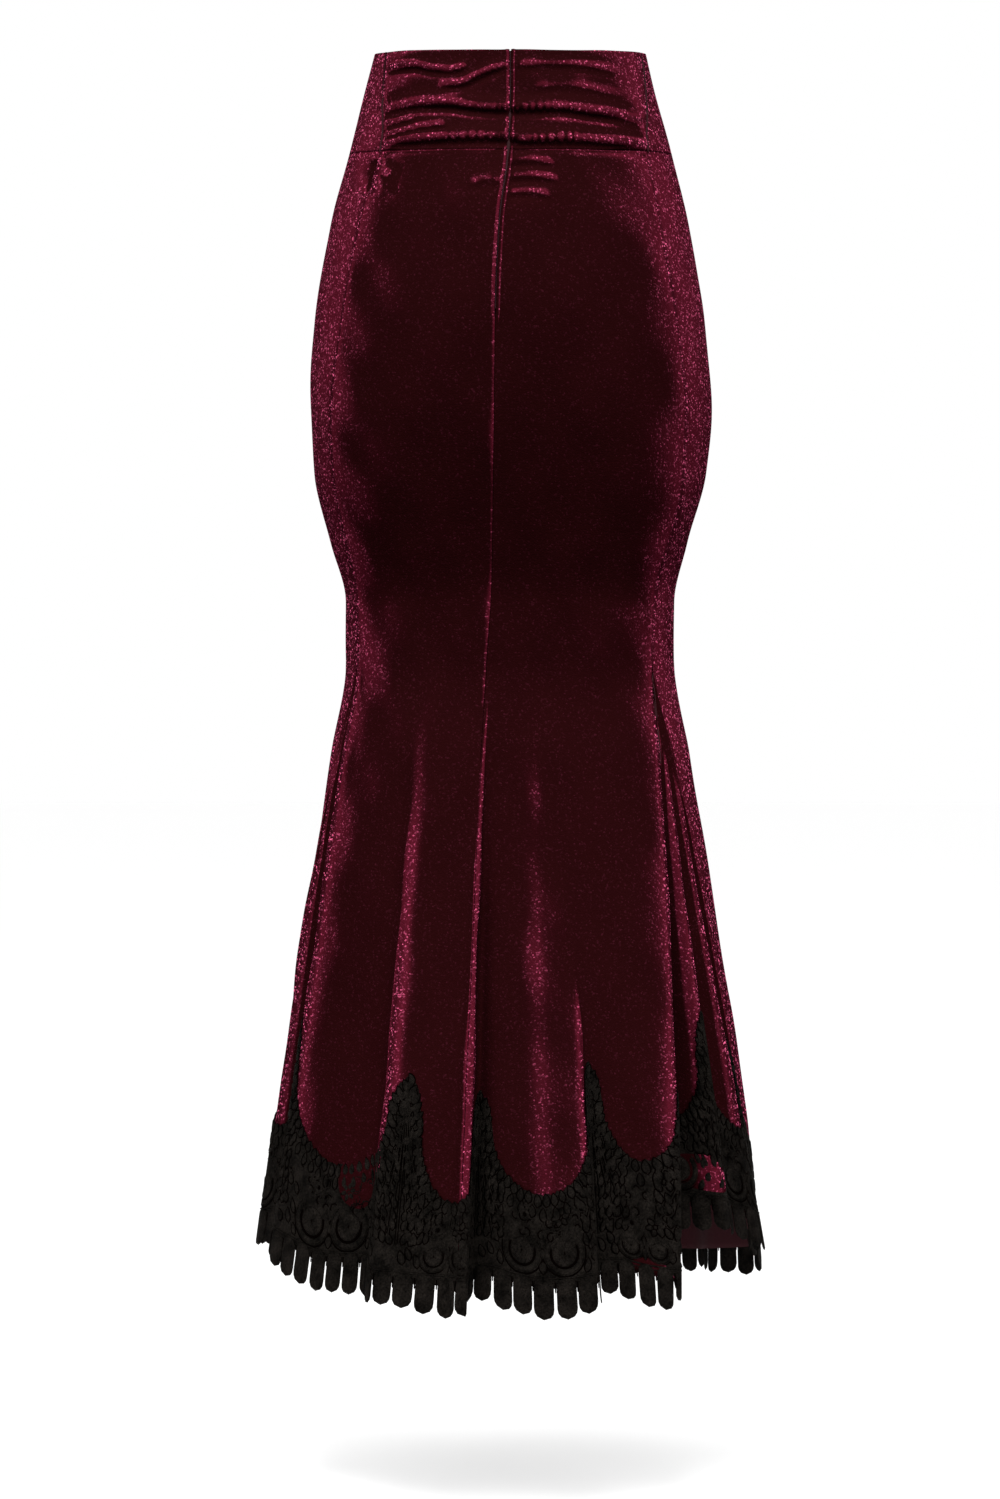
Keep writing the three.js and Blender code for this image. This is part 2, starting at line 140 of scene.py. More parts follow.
FOLDS = tuple(
    Fold(*row)
    for row in (
        # bearing at the knee, bearing at the hem, out, reach, drop, seam
        (0, 0, 8, 480, 1030, Seam.CENTRE_BACK),
        (0.8, 1.8, 7, 480, 1030),
        (1.8, 1.2, -10, 480, 1027),
        (3, 2.6, -19, 480, 1024),
        (6, 7, -12, 480, 1024),
        (10, 13, -2, 480, 1028),
        (16, 20.6, 8, 480, 1031),
        (24, 30, 5, 300, 1029),
        (26.5, 32, -9, 260, 1021),
        (31, 37, -7, 260, 1020),
        (44, 44, 2, 400, 1026),
        (64, 49.5, 9, 490, 1030),
        (67, 51.5, -4, 480, 1018, Seam.RIGHT_BACK),
        (67, 54, -20, 400, 1000),
        (67, 60, -28, 380, 972),
        (67, 68, 6, 380, 978),
        (67, 79, -10, 380, 984),
        (67, 91, 4, 380, 1000),
        (67, 103, -10, 380, 1014),
        (67, 110, 0, 380, 1024, Seam.RIGHT_FRONT),
        (80, 118, 9, 470, 1034),
        (104, 132, -11, 400, 1042),
        (129, 146, 9, 460, 1050),
        (151, 159, -9, 330, 1052),
        (173, 172, 8, 440, 1056),
        (196, 185, -11, 380, 1054),
        (219, 199, 10, 470, 1054),
        (242, 212, -8, 300, 1048),
        (266, 226, 8, 450, 1042),
        (288, 239, -10, 420, 1030),
        (300, 246, -2, 380, 1024, Seam.LEFT_FRONT),
        (300, 254, 9, 380, 1018),
        (300, 265, -12, 380, 1008),
        (300, 277, 4, 380, 1004),
        (300, 289, -18, 380, 996),
        (300, 298, -16, 400, 998),
        (300, 303, -4, 400, 1002, Seam.LEFT_BACK),
        (302.5, 306, 8, 490, 1006),
        (309, 313, 3, 460, 1012),
        (321, 324, -5, 460, 1020),
        (333, 335.5, -8, 470, 1018),
        (341.5, 341, 8, 480, 1028),
        (350, 350, 3, 420, 1030),
        (357, 356.5, 2, 300, 1030),
    )
)


class Side(Enum):
    """Which face of the skirt a crease lies on."""

    BACK = 1
    FRONT = -1


@dataclass(frozen=True)
class Crease:
    """A soft ridge, or a trough where its height is below 0, along a path of (x, depth below the waist)
    points. It fades over its width above it, and over its lower width below it."""

    path: tuple[tuple[float, float], ...]
    height: float
    width: float
    lower: float
    side: Side = Side.BACK


CREASES = (
    # The yoke's back: three near the waist edge, the two long rolls, and short ones between at the left.
    Crease(((104, 20), (82, 20), (64, 24), (49, 26), (35, 23)), 2.2, 5, 2.6),
    Crease(((60, 39), (42, 38), (29, 32), (18, 27.5), (3, 22.5)), 2.4, 5, 2.6),
    Crease(((-3, 22.5), (-30, 21), (-57, 20.3), (-88, 23)), 1.3, 5, 3),
    Crease(((106, 56), (76, 54), (51, 55), (30, 58), (2, 60), (-41, 59), (-68, 61), (-86, 62), (-106, 67)),
           3.6, 8, 3),
    Crease(((104, 69), (92, 67), (80, 65)), 1.6, 4, 2.6),
    Crease(((105, 78), (75, 74), (52, 72)), 1.9, 5, 2.6),
    Crease(((-18, 40), (-52, 38), (-90, 43)), 1.1, 7, 4),
    Crease(((108, 88), (88, 84), (59, 84), (4, 84), (-15, 86), (-68, 85.5), (-95, 86), (-118, 88)),
           3.6, 7, 3.4),
    # Short tension lines under the yoke seam, right of the zip, and a pucker by the left side seam.
    Crease(((3, 104), (-16, 103), (-37, 105)), 1.5, 4.5, 3),
    Crease(((3, 117.5), (-16, 116.5), (-40, 118.5)), 1.5, 4.5, 3),
    Crease(((3, 131), (-14, 130), (-34, 132)), 1.2, 4.5, 3),
    Crease(((5, 121), (18, 119), (34, 122)), 0.9, 6, 4),
    Crease(((113, 98), (119, 111), (121, 128)), -2.2, 4.5, 4.5),
    Crease(((106, 98), (110, 112), (113, 130)), 1.4, 4.5, 4.5),
    # The yoke's front, and its tension lines below.
    Crease(((100, 15), (60, 12), (20, 14), (-15, 11)), 2.0, 6, 3.2, Side.FRONT),
    Crease(((-100, 13), (-64, 16), (-30, 13)), 1.8, 6, 3.2, Side.FRONT),
    Crease(((96, 33), (58, 30), (12, 32)), 1.6, 7, 4, Side.FRONT),
    Crease(((108, 48), (60, 45), (5, 48), (-50, 46), (-108, 51)), 3.2, 8, 3.4, Side.FRONT),
    Crease(((-104, 64), (-70, 60), (-40, 61)), 1.8, 6, 3.4, Side.FRONT),
    Crease(((110, 76), (66, 72), (2, 71), (-60, 73), (-112, 77)), 3.2, 7, 3.6, Side.FRONT),
    Crease(((34, 101), (6, 99), (-22, 102)), 1.0, 6, 4, Side.FRONT),
)


@dataclass(frozen=True)
class LacePeak:
    """A peak of the lace's upper edge: how far round the hem it lies from the centre back, its height above
    the hem, and the height of the arch that follows it."""

    at: float
    peak: float
    arch: float


LACE_PEAKS = tuple(
    LacePeak(*row)
    for row in (
        # at, peak, arch
        (36, 150, 74),
        (166, 170, 92),
        (247, 150, 62),
        (372, 166, 78),
        (500, 182, 82),
        (630, 170, 76),
        (757, 184, 80),
        (884, 174, 78),
        (1010, 182, 74),
        (1136, 168, 80),
        (1266, 194, 80),
        (1435, 168, 66),
    )
)


class Curve:
    """A smooth curve with no overshoot through the rows of a table, which goes on straight past the last."""

    def __init__(self, places: Sequence[float], values: Sequence[float]) -> None:
        """Finds the curve's slopes at its rows.

        Args:
            places: Where the rows lie, in rising order.
            values: The value at each row.
        """
        self.places = np.asarray(places, float)
        self.values = np.asarray(values, float)
        slopes = np.diff(self.values) / np.diff(self.places)
        before, after = slopes[:-1], slopes[1:]
        turns = before * after <= 0
        inner = np.where(turns, 0.0, 2 * before * after / np.where(turns, 1.0, before + after))
        self.slopes = np.concatenate([slopes[:1], inner, slopes[-1:]])

    def __call__(self, x: Array) -> Array:
        """Gives the curve's value at each x.

        Args:
            x: Places, of any shape.

        Returns:
            The values, in the same shape.
        """
        x = np.asarray(x, float)
        k = np.clip(np.searchsorted(self.places, x, side="right") - 1, 0, len(self.places) - 2)
        step = self.places[k + 1] - self.places[k]
        t = np.clip((x - self.places[k]) / step, 0, 1)
        past = np.maximum(x - self.places[-1], 0) * self.slopes[-1]
        return (
            (2 * t**3 - 3 * t**2 + 1) * self.values[k]
            + (t**3 - 2 * t**2 + t) * step * self.slopes[k]
            + (3 * t**2 - 2 * t**3) * self.values[k + 1]
            + (t**3 - t**2) * step * self.slopes[k + 1]
            + past
        )


def lerp(a: Array, b: Array, t: Array) -> Array:
    """Gives the value a share t of the way from a to b."""
    return a + (b - a) * t


def unit(vectors: Array) -> Array:
    """Gives the vectors at length 1, leaving any of no length as they are."""
    length = np.linalg.norm(vectors, axis=-1, keepdims=True)
    return vectors / np.where(length > 1e-9, length, 1)


class Figure:
    """The worn skirt's form, as a function of the place round it and the height."""

    SIDE_SEAM_LEFT, SIDE_SEAM_RIGHT = -60.0, 67.0  # bearings of the side seams at the knee
    LACE_TOP = 202.0  # above this height over the hem, heights are shared out evenly up to the knee
    HEM_STEPS = 40  # to each fold, where the hem is measured
    DIP_END = 300.0  # the drop at which the waist edge's dip has died away
    NORMAL_STEP, NORMAL_RISE = 0.04, 2.0  # how far off the points are that a normal is taken from

    def __init__(self) -> None:
        """Reads the tables of sections and folds into curves."""
        drops = [row.drop for row in SECTIONS]
        self.sections = {
            key: Curve(drops, [getattr(row, key) for row in SECTIONS])
            for key in ("half_width", "back", "front", "swing", "seam")
        }
        round_ = [self._turned(FOLDS[-1], -1), *FOLDS, self._turned(FOLDS[0], 1), self._turned(FOLDS[1], 1)]
        places = np.arange(len(round_)) - 1.0
        self.folds = {
            key: Curve(places, [getattr(row, key) for row in round_])
            for key in ("knee", "hem", "out", "reach", "drop")
        }
        self.turns = float(len(FOLDS))
        steps = np.arange(len(FOLDS) * self.HEM_STEPS + 1) / self.HEM_STEPS
        hem = self.flare(steps, np.ones_like(steps))
        self.hem_places = steps
        self.hem_lengths = np.concatenate([[0], np.cumsum(np.linalg.norm(np.diff(hem, axis=0), axis=1))])
        self.girth = float(self.hem_lengths[-1])

    @staticmethod
    def _turned(fold: Fold, turn: int) -> Fold:
        """Gives a fold as it is after whole turns round."""
        return replace(fold, knee=fold.knee + 360 * turn, hem=fold.hem + 360 * turn)

    @staticmethod
    def seam_place(seam: Seam) -> int:
        """Gives the place of a seam on the folds."""
        return next(i for i, row in enumerate(FOLDS) if row.seam is seam)

    def outline(self, bearing: Array, drop: Array, out: Array | float = 0.0) -> Array:
        """Gives points of the figure's smooth outline, moved out by a distance.

        Args:
            bearing: Degrees round from the centre back.
            drop: Distances below the waist edge.
            out: How far each point stands out from the outline.

        Returns:
            The points, with x, y and z last.
        """
        turned = np.radians(bearing - self.sections["swing"](drop))
        s, c = np.sin(turned), np.cos(turned)
        depth = np.where(c > 0, self.sections["back"](drop), self.sections["front"](drop))
        dip = BACK_DIP * ((1 + np.cos(np.radians(bearing))) / 2) ** 2 * np.clip(1 - drop / self.DIP_END, 0, 1)
        width = self.sections["half_width"](drop)
        return np.stack([-(width + out) * s, (depth + out) * c, -drop - dip], axis=-1)

    def seamed(self, bearing: Array, share: Array) -> Array:
        """Moves bearings with the side seams, which leaves the centre back and front where they are.

        Args:
            bearing: Degrees round from the centre back, at the knee.
            share: How far round the side seams lie, as a share of their bearing at the knee.

        Returns:
            The bearings at the given share.
        """
        turns = np.floor((bearing + 180) / 360) * 360
        own = bearing - turns
        side = np.where(own < 0, self.SIDE_SEAM_LEFT, self.SIDE_SEAM_RIGHT)
        front = np.where(own < 0, -180.0, 180.0)
        past = (own - side) / (front - side)
        return turns + np.where(past < 0, own * share, lerp(side * share, front, past))

    def body(self, place: Array, drop: Array) -> Array:
        """Gives points above the knee, at places on the folds and drops."""
        return self.outline(self.seamed(self.folds["knee"](place), self.sections["seam"](drop)), drop)

    def flare(self, place: Array, share: Array) -> Array:
        """Gives points of the flare.

        Args:
            place: Places on the folds.
            share: How far down each point lies, from 0 at the knee to 1 at the hem, and on past it.

        Returns:
            The points.
        """
        place = np.mod(place, self.turns)
        hem = self.folds["drop"](place)
        drop = lerp(KNEE_DROP, hem, share)
        reach = np.minimum(self.folds["reach"](place), hem - KNEE_DROP)
        strength = np.maximum(0, 1 - (hem - drop) / reach)
        bearing = lerp(self.folds["knee"](place), self.folds["hem"](place), share)
        return self.outline(bearing, drop, self.folds["out"](place) * strength)

    def over_hem(self, place: Array, height: Array) -> Array:
        """Gives points of the flare at heights above the velvet's hem.

        Args:
            place: Places on the folds.
            height: Heights over the hem, which are below it where they are below 0.

        Returns:
            The points.
        """
        own = self.folds["drop"](np.mod(place, self.turns)) - KNEE_DROP
        flare = HEM_DROP - KNEE_DROP
        near = 1 - height / own
        far = (flare - height) / (flare - self.LACE_TOP) * (1 - self.LACE_TOP / own)
        return self.flare(place, np.where(height <= self.LACE_TOP, near, far))

    def hem_normal(self, place: Array, height: Array) -> Array:
        """Gives the outward directions of the flare.

        Args:
            place: Places on the folds.
            height: Heights over the hem.

        Returns:
            Unit vectors.
        """
        step, rise = self.NORMAL_STEP, self.NORMAL_RISE
        across = self.over_hem(place + step, height) - self.over_hem(place - step, height)
        down = self.over_hem(place, height - rise) - self.over_hem(place, height + rise)
        return unit(np.cross(down, across))

    def place_at(self, along: Array) -> Array:
        """Gives the places that lie given lengths round the hem from the centre back."""
        turns = np.floor(along / self.girth)
        return np.interp(along - turns * self.girth, self.hem_lengths, self.hem_places) + turns * self.turns

    def along_at(self, place: Array) -> Array:
        """Gives how far round the hem places lie."""
        return np.interp(place, self.hem_places, self.hem_lengths)


@dataclass(frozen=True)
class Ring:
    """Cloth all round the figure: points by column and row, with the last column on the first, and how far
    each point lies on a crest, from -1 in a hollow to 1."""

    points: Array
    crests: Array


def normals_of(points: Array) -> Array:
    """Gives the outward normals of a closed ring of points, looking past neighbours that share a place.

    Args:
        points: The ring's points, by column and row, with the last column on the first.

    Returns:
        The unit normals, in the same shape.
    """
    live = points[:-1]
    across = np.zeros_like(live)
    for step in range(1, 80):
        apart = np.roll(live, -step, axis=0) - np.roll(live, step, axis=0)
        bare = np.linalg.norm(across, axis=-1) < 0.4
        across[bare] = apart[bare]
    down = np.gradient(live, axis=1)
    normals = unit(np.cross(down, across))
    return np.concatenate([normals, normals[:1]])


def fade(distance: Array, width: float) -> Array:
    """Gives a smooth bump that is 1 at no distance and falls away over a width."""
    return np.exp(-((distance / width) ** 2))


@dataclass
class Surface:
    """Builds the rings of cloth, and shapes them with creases, seams and slack."""

    figure: Figure
    spacing: float = 3.0  # between columns at the hem
    crowd: float = 1.5  # the power that crowds columns towards a seam
    yoke_rows: int = 50
    flare_rows: int = 102
    rows: tuple[float, float, float] = (134.0, 2.0, 5.0)  # below the yoke: fine down to a drop, and coarse on
    seam_width: float = 1.1
    lip: tuple[float, float] = (3.4, 1.8)  # how far off a seam its raised lips lie, and their width
    welt: tuple[float, float] = (2.4, 1.7)  # the same of the lips over the zip
    welt_drop: float = 226.0  # the zip's end
    welt_height: float = 1.3
    crest_columns: tuple[int, ...] = (4, 9, 16)  # how far off the columns are that a crest is measured by
    crest_rows: int = 2  # how far off the rows are that a roll is measured by
    bends: tuple[float, float, float] = (0.0085, 0.019, 0.1)  # 1/mm: the body's, a full crest's and a roll's
    slack: tuple = (
        # waves round, turns to a millimetre down, start and height
        (3, 0.021, 0.3, 0.5), (7, -0.034, 1.9, 0.45), (11, 0.051, 4.1, 0.3), (17, -0.083, 2.6, 0.16),
    )

    def __post_init__(self) -> None:
        """Works out the columns round the skirt."""
        self.places = self._columns()

    def _columns(self) -> Array:
        """Spaces the columns evenly round the hem, and closer together near each seam.

        Returns:
            The places of the columns.
        """
        seams = [self.figure.seam_place(seam) for seam in Seam] + [int(self.figure.turns)]
        places: list[float] = []
        for i in range(int(self.figure.turns)):
            ends = self.figure.along_at(np.array([i, i + 1.0]))
            count = max(4, math.ceil(float(ends[1] - ends[0]) / self.spacing))
            t = np.arange(count) / count
            if i in seams:
                t = t**self.crowd
            elif i + 1 in seams:
                t = 1 - (1 - t) ** self.crowd
            places += list(i + t)
        return np.array([*places, self.figure.turns])

    def column_at(self, place: float) -> int:
        """Gives the number of the column at a place."""
        return int(np.argmin(np.abs(self.places - place)))

    def yoke(self) -> Ring:
        """Builds the yoke all round, from the waist edge to its seam.

        Returns:
            The ring.
        """
        drops = np.arange(0, YOKE_DROP + 0.1, YOKE_DROP / self.yoke_rows)
        place, drop = np.meshgrid(self.places, drops, indexing="ij")
        points = self.figure.body(place, drop)
        points[:, -1, 2] += SEAM_GAP / 2
        return self._shaped(points)

    def skirt(self, tip: float) -> tuple[Ring, int]:
        """Builds the skirt below the yoke, all round.

        Args:
            tip: How far below the knee the godets' points lie.

        Returns:
            The ring, and the row that the godets start at.
        """
        end, fine, coarse = self.rows
        rows = np.arange(YOKE_DROP, end, fine), np.arange(end, KNEE_DROP, coarse), [KNEE_DROP]
        upper = np.concatenate(rows)
        flare = HEM_DROP - KNEE_DROP
        heights = np.concatenate([[flare - tip], np.linspace(flare - tip, 0, self.flare_rows)[1:]])
        place, drop = np.meshgrid(self.places, upper, indexing="ij")
        body = self.figure.body(place, drop)
        body[:, 0, 2] -= SEAM_GAP / 2
        place, height = np.meshgrid(self.places, heights, indexing="ij")
        points = np.concatenate([body, self.figure.over_hem(place, height)], axis=1)
        return self._shaped(points), len(upper)

    def _shaped(self, points: Array) -> Ring:
        """Adds the creases, the seams and the cloth's slack to a ring.

        Args:
            points: The ring's points on the bare form.

        Returns:
            The ring, with how far each point lies on a crest.
        """
        normals = normals_of(points)
        out = self._creases(points) + self._slack(points) + self._seams(points)
        shaped = points + normals * out[..., None]
        return Ring(shaped, self._crests(shaped, normals_of(shaped)))

    def _crests(self, points: Array, normals: Array) -> Array:
        """Gives how far each point lies on a crest, by which the velvet's colour is painted lighter as a
        highlight, and darker in a hollow as painted shade.

        Args:
            points: The ring's points.
            normals: Their outward normals.

        Returns:
            Values from -1 in a hollow to 1 on a crest.
        """
        live, out = points[:-1], normals[:-1]
        bend = np.zeros(live.shape[:-1])
        for step in self.crest_columns:
            ends = np.roll(live, -step, axis=0), np.roll(live, step, axis=0)
            reach = np.linalg.norm(ends[0] - ends[1], axis=-1) / 2
            stands = ((live - (ends[0] + ends[1]) / 2) * out).sum(axis=-1)
            bend += 2 * stands / np.maximum(reach, 6.0) ** 2 / len(self.crest_columns)
        body, full, roll = self.bends
        across = np.clip((bend - body) / full, -1, 1)
        rows = np.arange(live.shape[1])
        above = live[:, np.maximum(rows - self.crest_rows, 0)]
        below = live[:, np.minimum(rows + self.crest_rows, rows[-1])]
        reach = np.linalg.norm(above - below, axis=-1) / 2
        stands = ((live - (above + below) / 2) * out).sum(axis=-1)
        down = np.clip(2 * stands / np.maximum(reach, 2.0) ** 2 / roll, -1, 1)
        down[:, : self.crest_rows] = down[:, -self.crest_rows :] = 0
        crests = np.clip(across + down, -1, 1)
        return np.concatenate([crests, crests[:1]])

    def _creases(self, points: Array) -> Array:
        """Gives how far the creases lift each point.

        Args:
            points: The ring's points.

        Returns:
            Distances along the normals.
        """
        out = np.zeros(points.shape[:-1])
        for crease in CREASES:
            path = np.array(crease.path)
            t = np.linspace(0, 1, 60)
            knots = np.linspace(0, 1, len(path))
            line = np.stack([Curve(knots, path[:, i])(t) for i in range(2)], axis=-1)
            low, high = line.min(axis=0) - 20, line.max(axis=0) + 20
            x, depth = points[..., 0], -points[..., 2]
            near = (x > low[0]) & (x < high[0]) & (depth > low[1]) & (depth < high[1])
            near &= points[..., 1] * crease.side.value > 0
            place = np.stack([x[near], depth[near]], axis=-1)
            gaps = place[:, None, :] - line[None]
            nearest = np.argmin((gaps**2).sum(axis=-1), axis=1)
            gap = gaps[np.arange(len(place)), nearest]
            distance = np.linalg.norm(gap, axis=-1)
            width = np.where(gap[:, 1] > 0, crease.lower, crease.width)
            ends = np.minimum(1, np.minimum(t[nearest], 1 - t[nearest]) / 0.16)
            lift = crease.height * fade(distance, width) * np.sqrt(ends + 0.04)
            hollow = -0.45 * crease.height * fade(gap[:, 1] - 1.6 * crease.lower, crease.lower) * ends
            out[near] += lift + np.where(distance < 4 * crease.lower, hollow, 0)
        return out

    def _slack(self, points: Array) -> Array:
        """Gives the soft unevenness of cloth that isn't stretched anywhere.

        Args:
            points: The ring's points.

        Returns:
            Distances along the normals.
        """
        x, y, z = np.moveaxis(points, -1, 0)
        round_ = np.arctan2(x, y)
        return sum(size * np.sin(turns * round_ + rise * z + at) for turns, rise, at, size in self.slack)

    def _seams(self, points: Array) -> Array:
        """Gives the grooves along the seams, and the raised lips of the zip's welt.

        Args:
            points: The ring's points.

        Returns:
            Distances along the normals.
        """
        out = np.zeros(points.shape[:-1])
        depth = -points[..., 2]
        for seam in Seam:
            column = self.column_at(self.figure.seam_place(seam))
            gap = np.linalg.norm(points - points[column][None], axis=-1)
            pucker = 1 + 0.5 * np.sin(depth * 0.55 + 2 * np.sin(depth * 0.11))
            deep, raised = (0.4, 0.12) if seam is Seam.CENTRE_BACK else (0.08, 0.02)
            lip = raised * pucker * fade(gap - self.lip[0], self.lip[1])
            groove = lip - deep * fade(gap, self.seam_width)
            if seam is Seam.CENTRE_BACK:
                zipped = 1 / (1 + np.exp((depth - self.welt_drop - BACK_DIP) / 4))
                welt = self.welt_height * fade(gap - self.welt[0], self.welt[1]) * (1 + 0.1 * pucker)
                groove = lerp(groove, welt - 0.5 * fade(gap, 1.0), zipped)
            out += groove
        return out


class Nodes:
    """Adds nodes to a node tree and links them."""

    def __init__(self, tree: bpy.types.NodeTree) -> None:
        """Starts on an empty tree."""
        self.tree = tree
        tree.nodes.clear()

    def add(self, kind: str, inputs: dict | None = None, **settings: object) -> bpy.types.Node:
        """Adds a node.

        Args:
            kind: The node's type, without its prefix.
            inputs: Values or output sockets, by the input's name or number.
            settings: The node's own settings.

        Returns:
            The node.
        """
        node = self.tree.nodes.new(kind if kind.startswith("Node") else "ShaderNode" + kind)
        for name, value in settings.items():
            setattr(node, name, value)
        for name, value in (inputs or {}).items():
            socket = self._socket(node.inputs, name)
            if isinstance(value, Socket):
                self.tree.links.new(value, socket)
            else:
                socket.default_value = value
        return node

    @staticmethod
    def _socket(sockets: bpy.types.NodeInputs, name: str | int) -> Socket:
        """Finds a socket.

        Args:
            sockets: A node's sockets.
            name: Its name or number.

        Returns:
            The socket, or of several with the name the one that is in use.
        """
        if isinstance(name, int):
            return sockets[name]
        return next(socket for socket in sockets if socket.name == name and socket.enabled)

    def ramp(self, factor: Socket, stops: Sequence[tuple[float, tuple]]) -> Socket:
        """Adds a colour ramp.

        Args:
            factor: What it is looked up by.
            stops: Positions and colours, in order.

        Returns:
            Its colour output.
        """
        node = self.add("ValToRGB", {"Fac": factor})
        elements = node.color_ramp.elements
        for i, (position, colour) in enumerate(stops):
            element = elements[i] if i < len(elements) else elements.new(position)
            element.position = position
            element.color = (*colour, 1.0)
        return node.outputs["Color"]

    def mix(self, amount: object, first: object, second: object) -> Socket:
        """Mixes two colours.

        Args:
            amount: How much of the second there is.
            first: A colour or its socket.
            second: A colour or its socket.

        Returns:
            The mixed colour.
        """
        node = self.add("Mix", data_type="RGBA")
        for name, value in (("Factor", amount), ("A", first), ("B", second)):
            socket = self._socket(node.inputs, name)
            if isinstance(value, Socket):
                self.tree.links.new(value, socket)
            else:
                socket.default_value = value
        return next(socket for socket in node.outputs if socket.enabled)

    def maths(self, operation: str, *values: object) -> Socket:
        """Adds a maths node and gives its output."""
        return self.add("Math", dict(enumerate(values)), operation=operation).outputs[0]

    def bump(self, height: Socket, distance: float, strength: float = 1.0) -> Socket:
        """Adds a bump of a height in metres and gives its normal."""
        inputs = {"Height": height, "Distance": distance, "Strength": strength}
        return self.add("Bump", inputs).outputs["Normal"]


def group(name: str, sockets: Sequence[tuple[str, str, str]]) -> tuple[Nodes, bpy.types.Node, bpy.types.Node]:
    """Starts a node group.

    Args:
        name: The group's name.
        sockets: The name, the way and the type of each of its sockets.

    Returns:
        The group's nodes, and its input and output nodes.
    """
    tree = bpy.data.node_groups.new(name, "ShaderNodeTree")
    for socket, way, kind in sockets:
        tree.interface.new_socket(socket, in_out=way, socket_type=kind)
    nodes = Nodes(tree)
    return nodes, nodes.add("NodeGroupInput"), nodes.add("NodeGroupOutput")


@dataclass(frozen=True)
class PebbleGroup:
    """The embossed pile: rounded cells of uneven size, with a random value for each."""

    warp_scale: float = 120.0
    warp: float = 0.004
    smoothness: float = 0.35
    fine_scale: float = 1500.0
    fine: float = 0.12

    def build(self) -> bpy.types.NodeTree:
        """Makes the node group, with Vector and Cells inputs and Height and Glint outputs.

        Returns:
            The node group.
        """
        nodes, inside, outside = group("pebbled pile", (
            ("Vector", "INPUT", "NodeSocketVector"),
            ("Cells", "INPUT", "NodeSocketFloat"),
            ("Height", "OUTPUT", "NodeSocketFloat"),
            ("Glint", "OUTPUT", "NodeSocketFloat"),
        ))
        vector = inside.outputs["Vector"]
        warp = nodes.add("TexNoise", {"Vector": vector, "Scale": self.warp_scale, "Detail": 1.0})
        inputs = {0: warp.outputs["Color"], 1: (0.5, 0.5, 0.5)}
        centred = nodes.add("VectorMath", inputs, operation="SUBTRACT")
        moved = nodes.add("VectorMath", {0: centred.outputs[0], "Scale": self.warp}, operation="SCALE")
        place = nodes.add("VectorMath", {0: vector, 1: moved.outputs[0]}, operation="ADD").outputs[0]
        inputs = {"Vector": place, "Scale": inside.outputs["Cells"]}
        cell = nodes.add("TexVoronoi", inputs, feature="SMOOTH_F1")
        cell.inputs["Smoothness"].default_value = self.smoothness
        fine = nodes.add("TexNoise", {"Vector": vector, "Scale": self.fine_scale, "Detail": 2.0})
        dome = nodes.maths("SUBTRACT", 1.0, cell.outputs["Distance"])
        height = nodes.maths("MULTIPLY_ADD", fine.outputs["Fac"], self.fine, dome)
        random = nodes.add("SeparateColor", {0: cell.outputs["Color"]}).outputs[0]
        nodes.tree.links.new(height, outside.inputs["Height"])
        nodes.tree.links.new(random, outside.inputs["Glint"])
        return nodes.tree


@dataclass(frozen=True)
class ThreadGroup:
    """The lace's yarn: fine stitches across each patch, with a soft unevenness."""

    stitch: float = 0.35
    wander: float = 3.0
    fibre_scale: float = 620.0
    fibre: float = 1.4
    patch_scale: float = 90.0

    def build(self) -> bpy.types.NodeTree:
        """Makes the node group, with Vector and Stitch inputs and Height and Shade outputs.

        Returns:
            The node group.
        """
        nodes, inside, outside = group("lace yarn", (
            ("Vector", "INPUT", "NodeSocketVector"),
            ("Stitch", "INPUT", "NodeSocketVector"),
            ("Height", "OUTPUT", "NodeSocketFloat"),
            ("Shade", "OUTPUT", "NodeSocketFloat"),
        ))
        vector, stitch = inside.outputs["Vector"], inside.outputs["Stitch"]
        shape = {"Vector": stitch, "Scale": self.stitch, "Distortion": self.wander, "Detail": 1.0}
        wave = nodes.add("TexWave", {**shape, "Detail Scale": 2.0})
        noise = nodes.add("TexNoise", {"Vector": vector, "Scale": self.fibre_scale, "Detail": 3.0})
        height = nodes.maths("MULTIPLY_ADD", noise.outputs["Fac"], self.fibre, wave.outputs["Fac"])
        patch = nodes.add("TexNoise", {"Vector": vector, "Scale": self.patch_scale, "Detail": 3.0})
        shade = nodes.maths("MULTIPLY", patch.outputs["Fac"], noise.outputs["Fac"])
        nodes.tree.links.new(height, outside.inputs["Height"])
        nodes.tree.links.new(shade, outside.inputs["Shade"])
        return nodes.tree


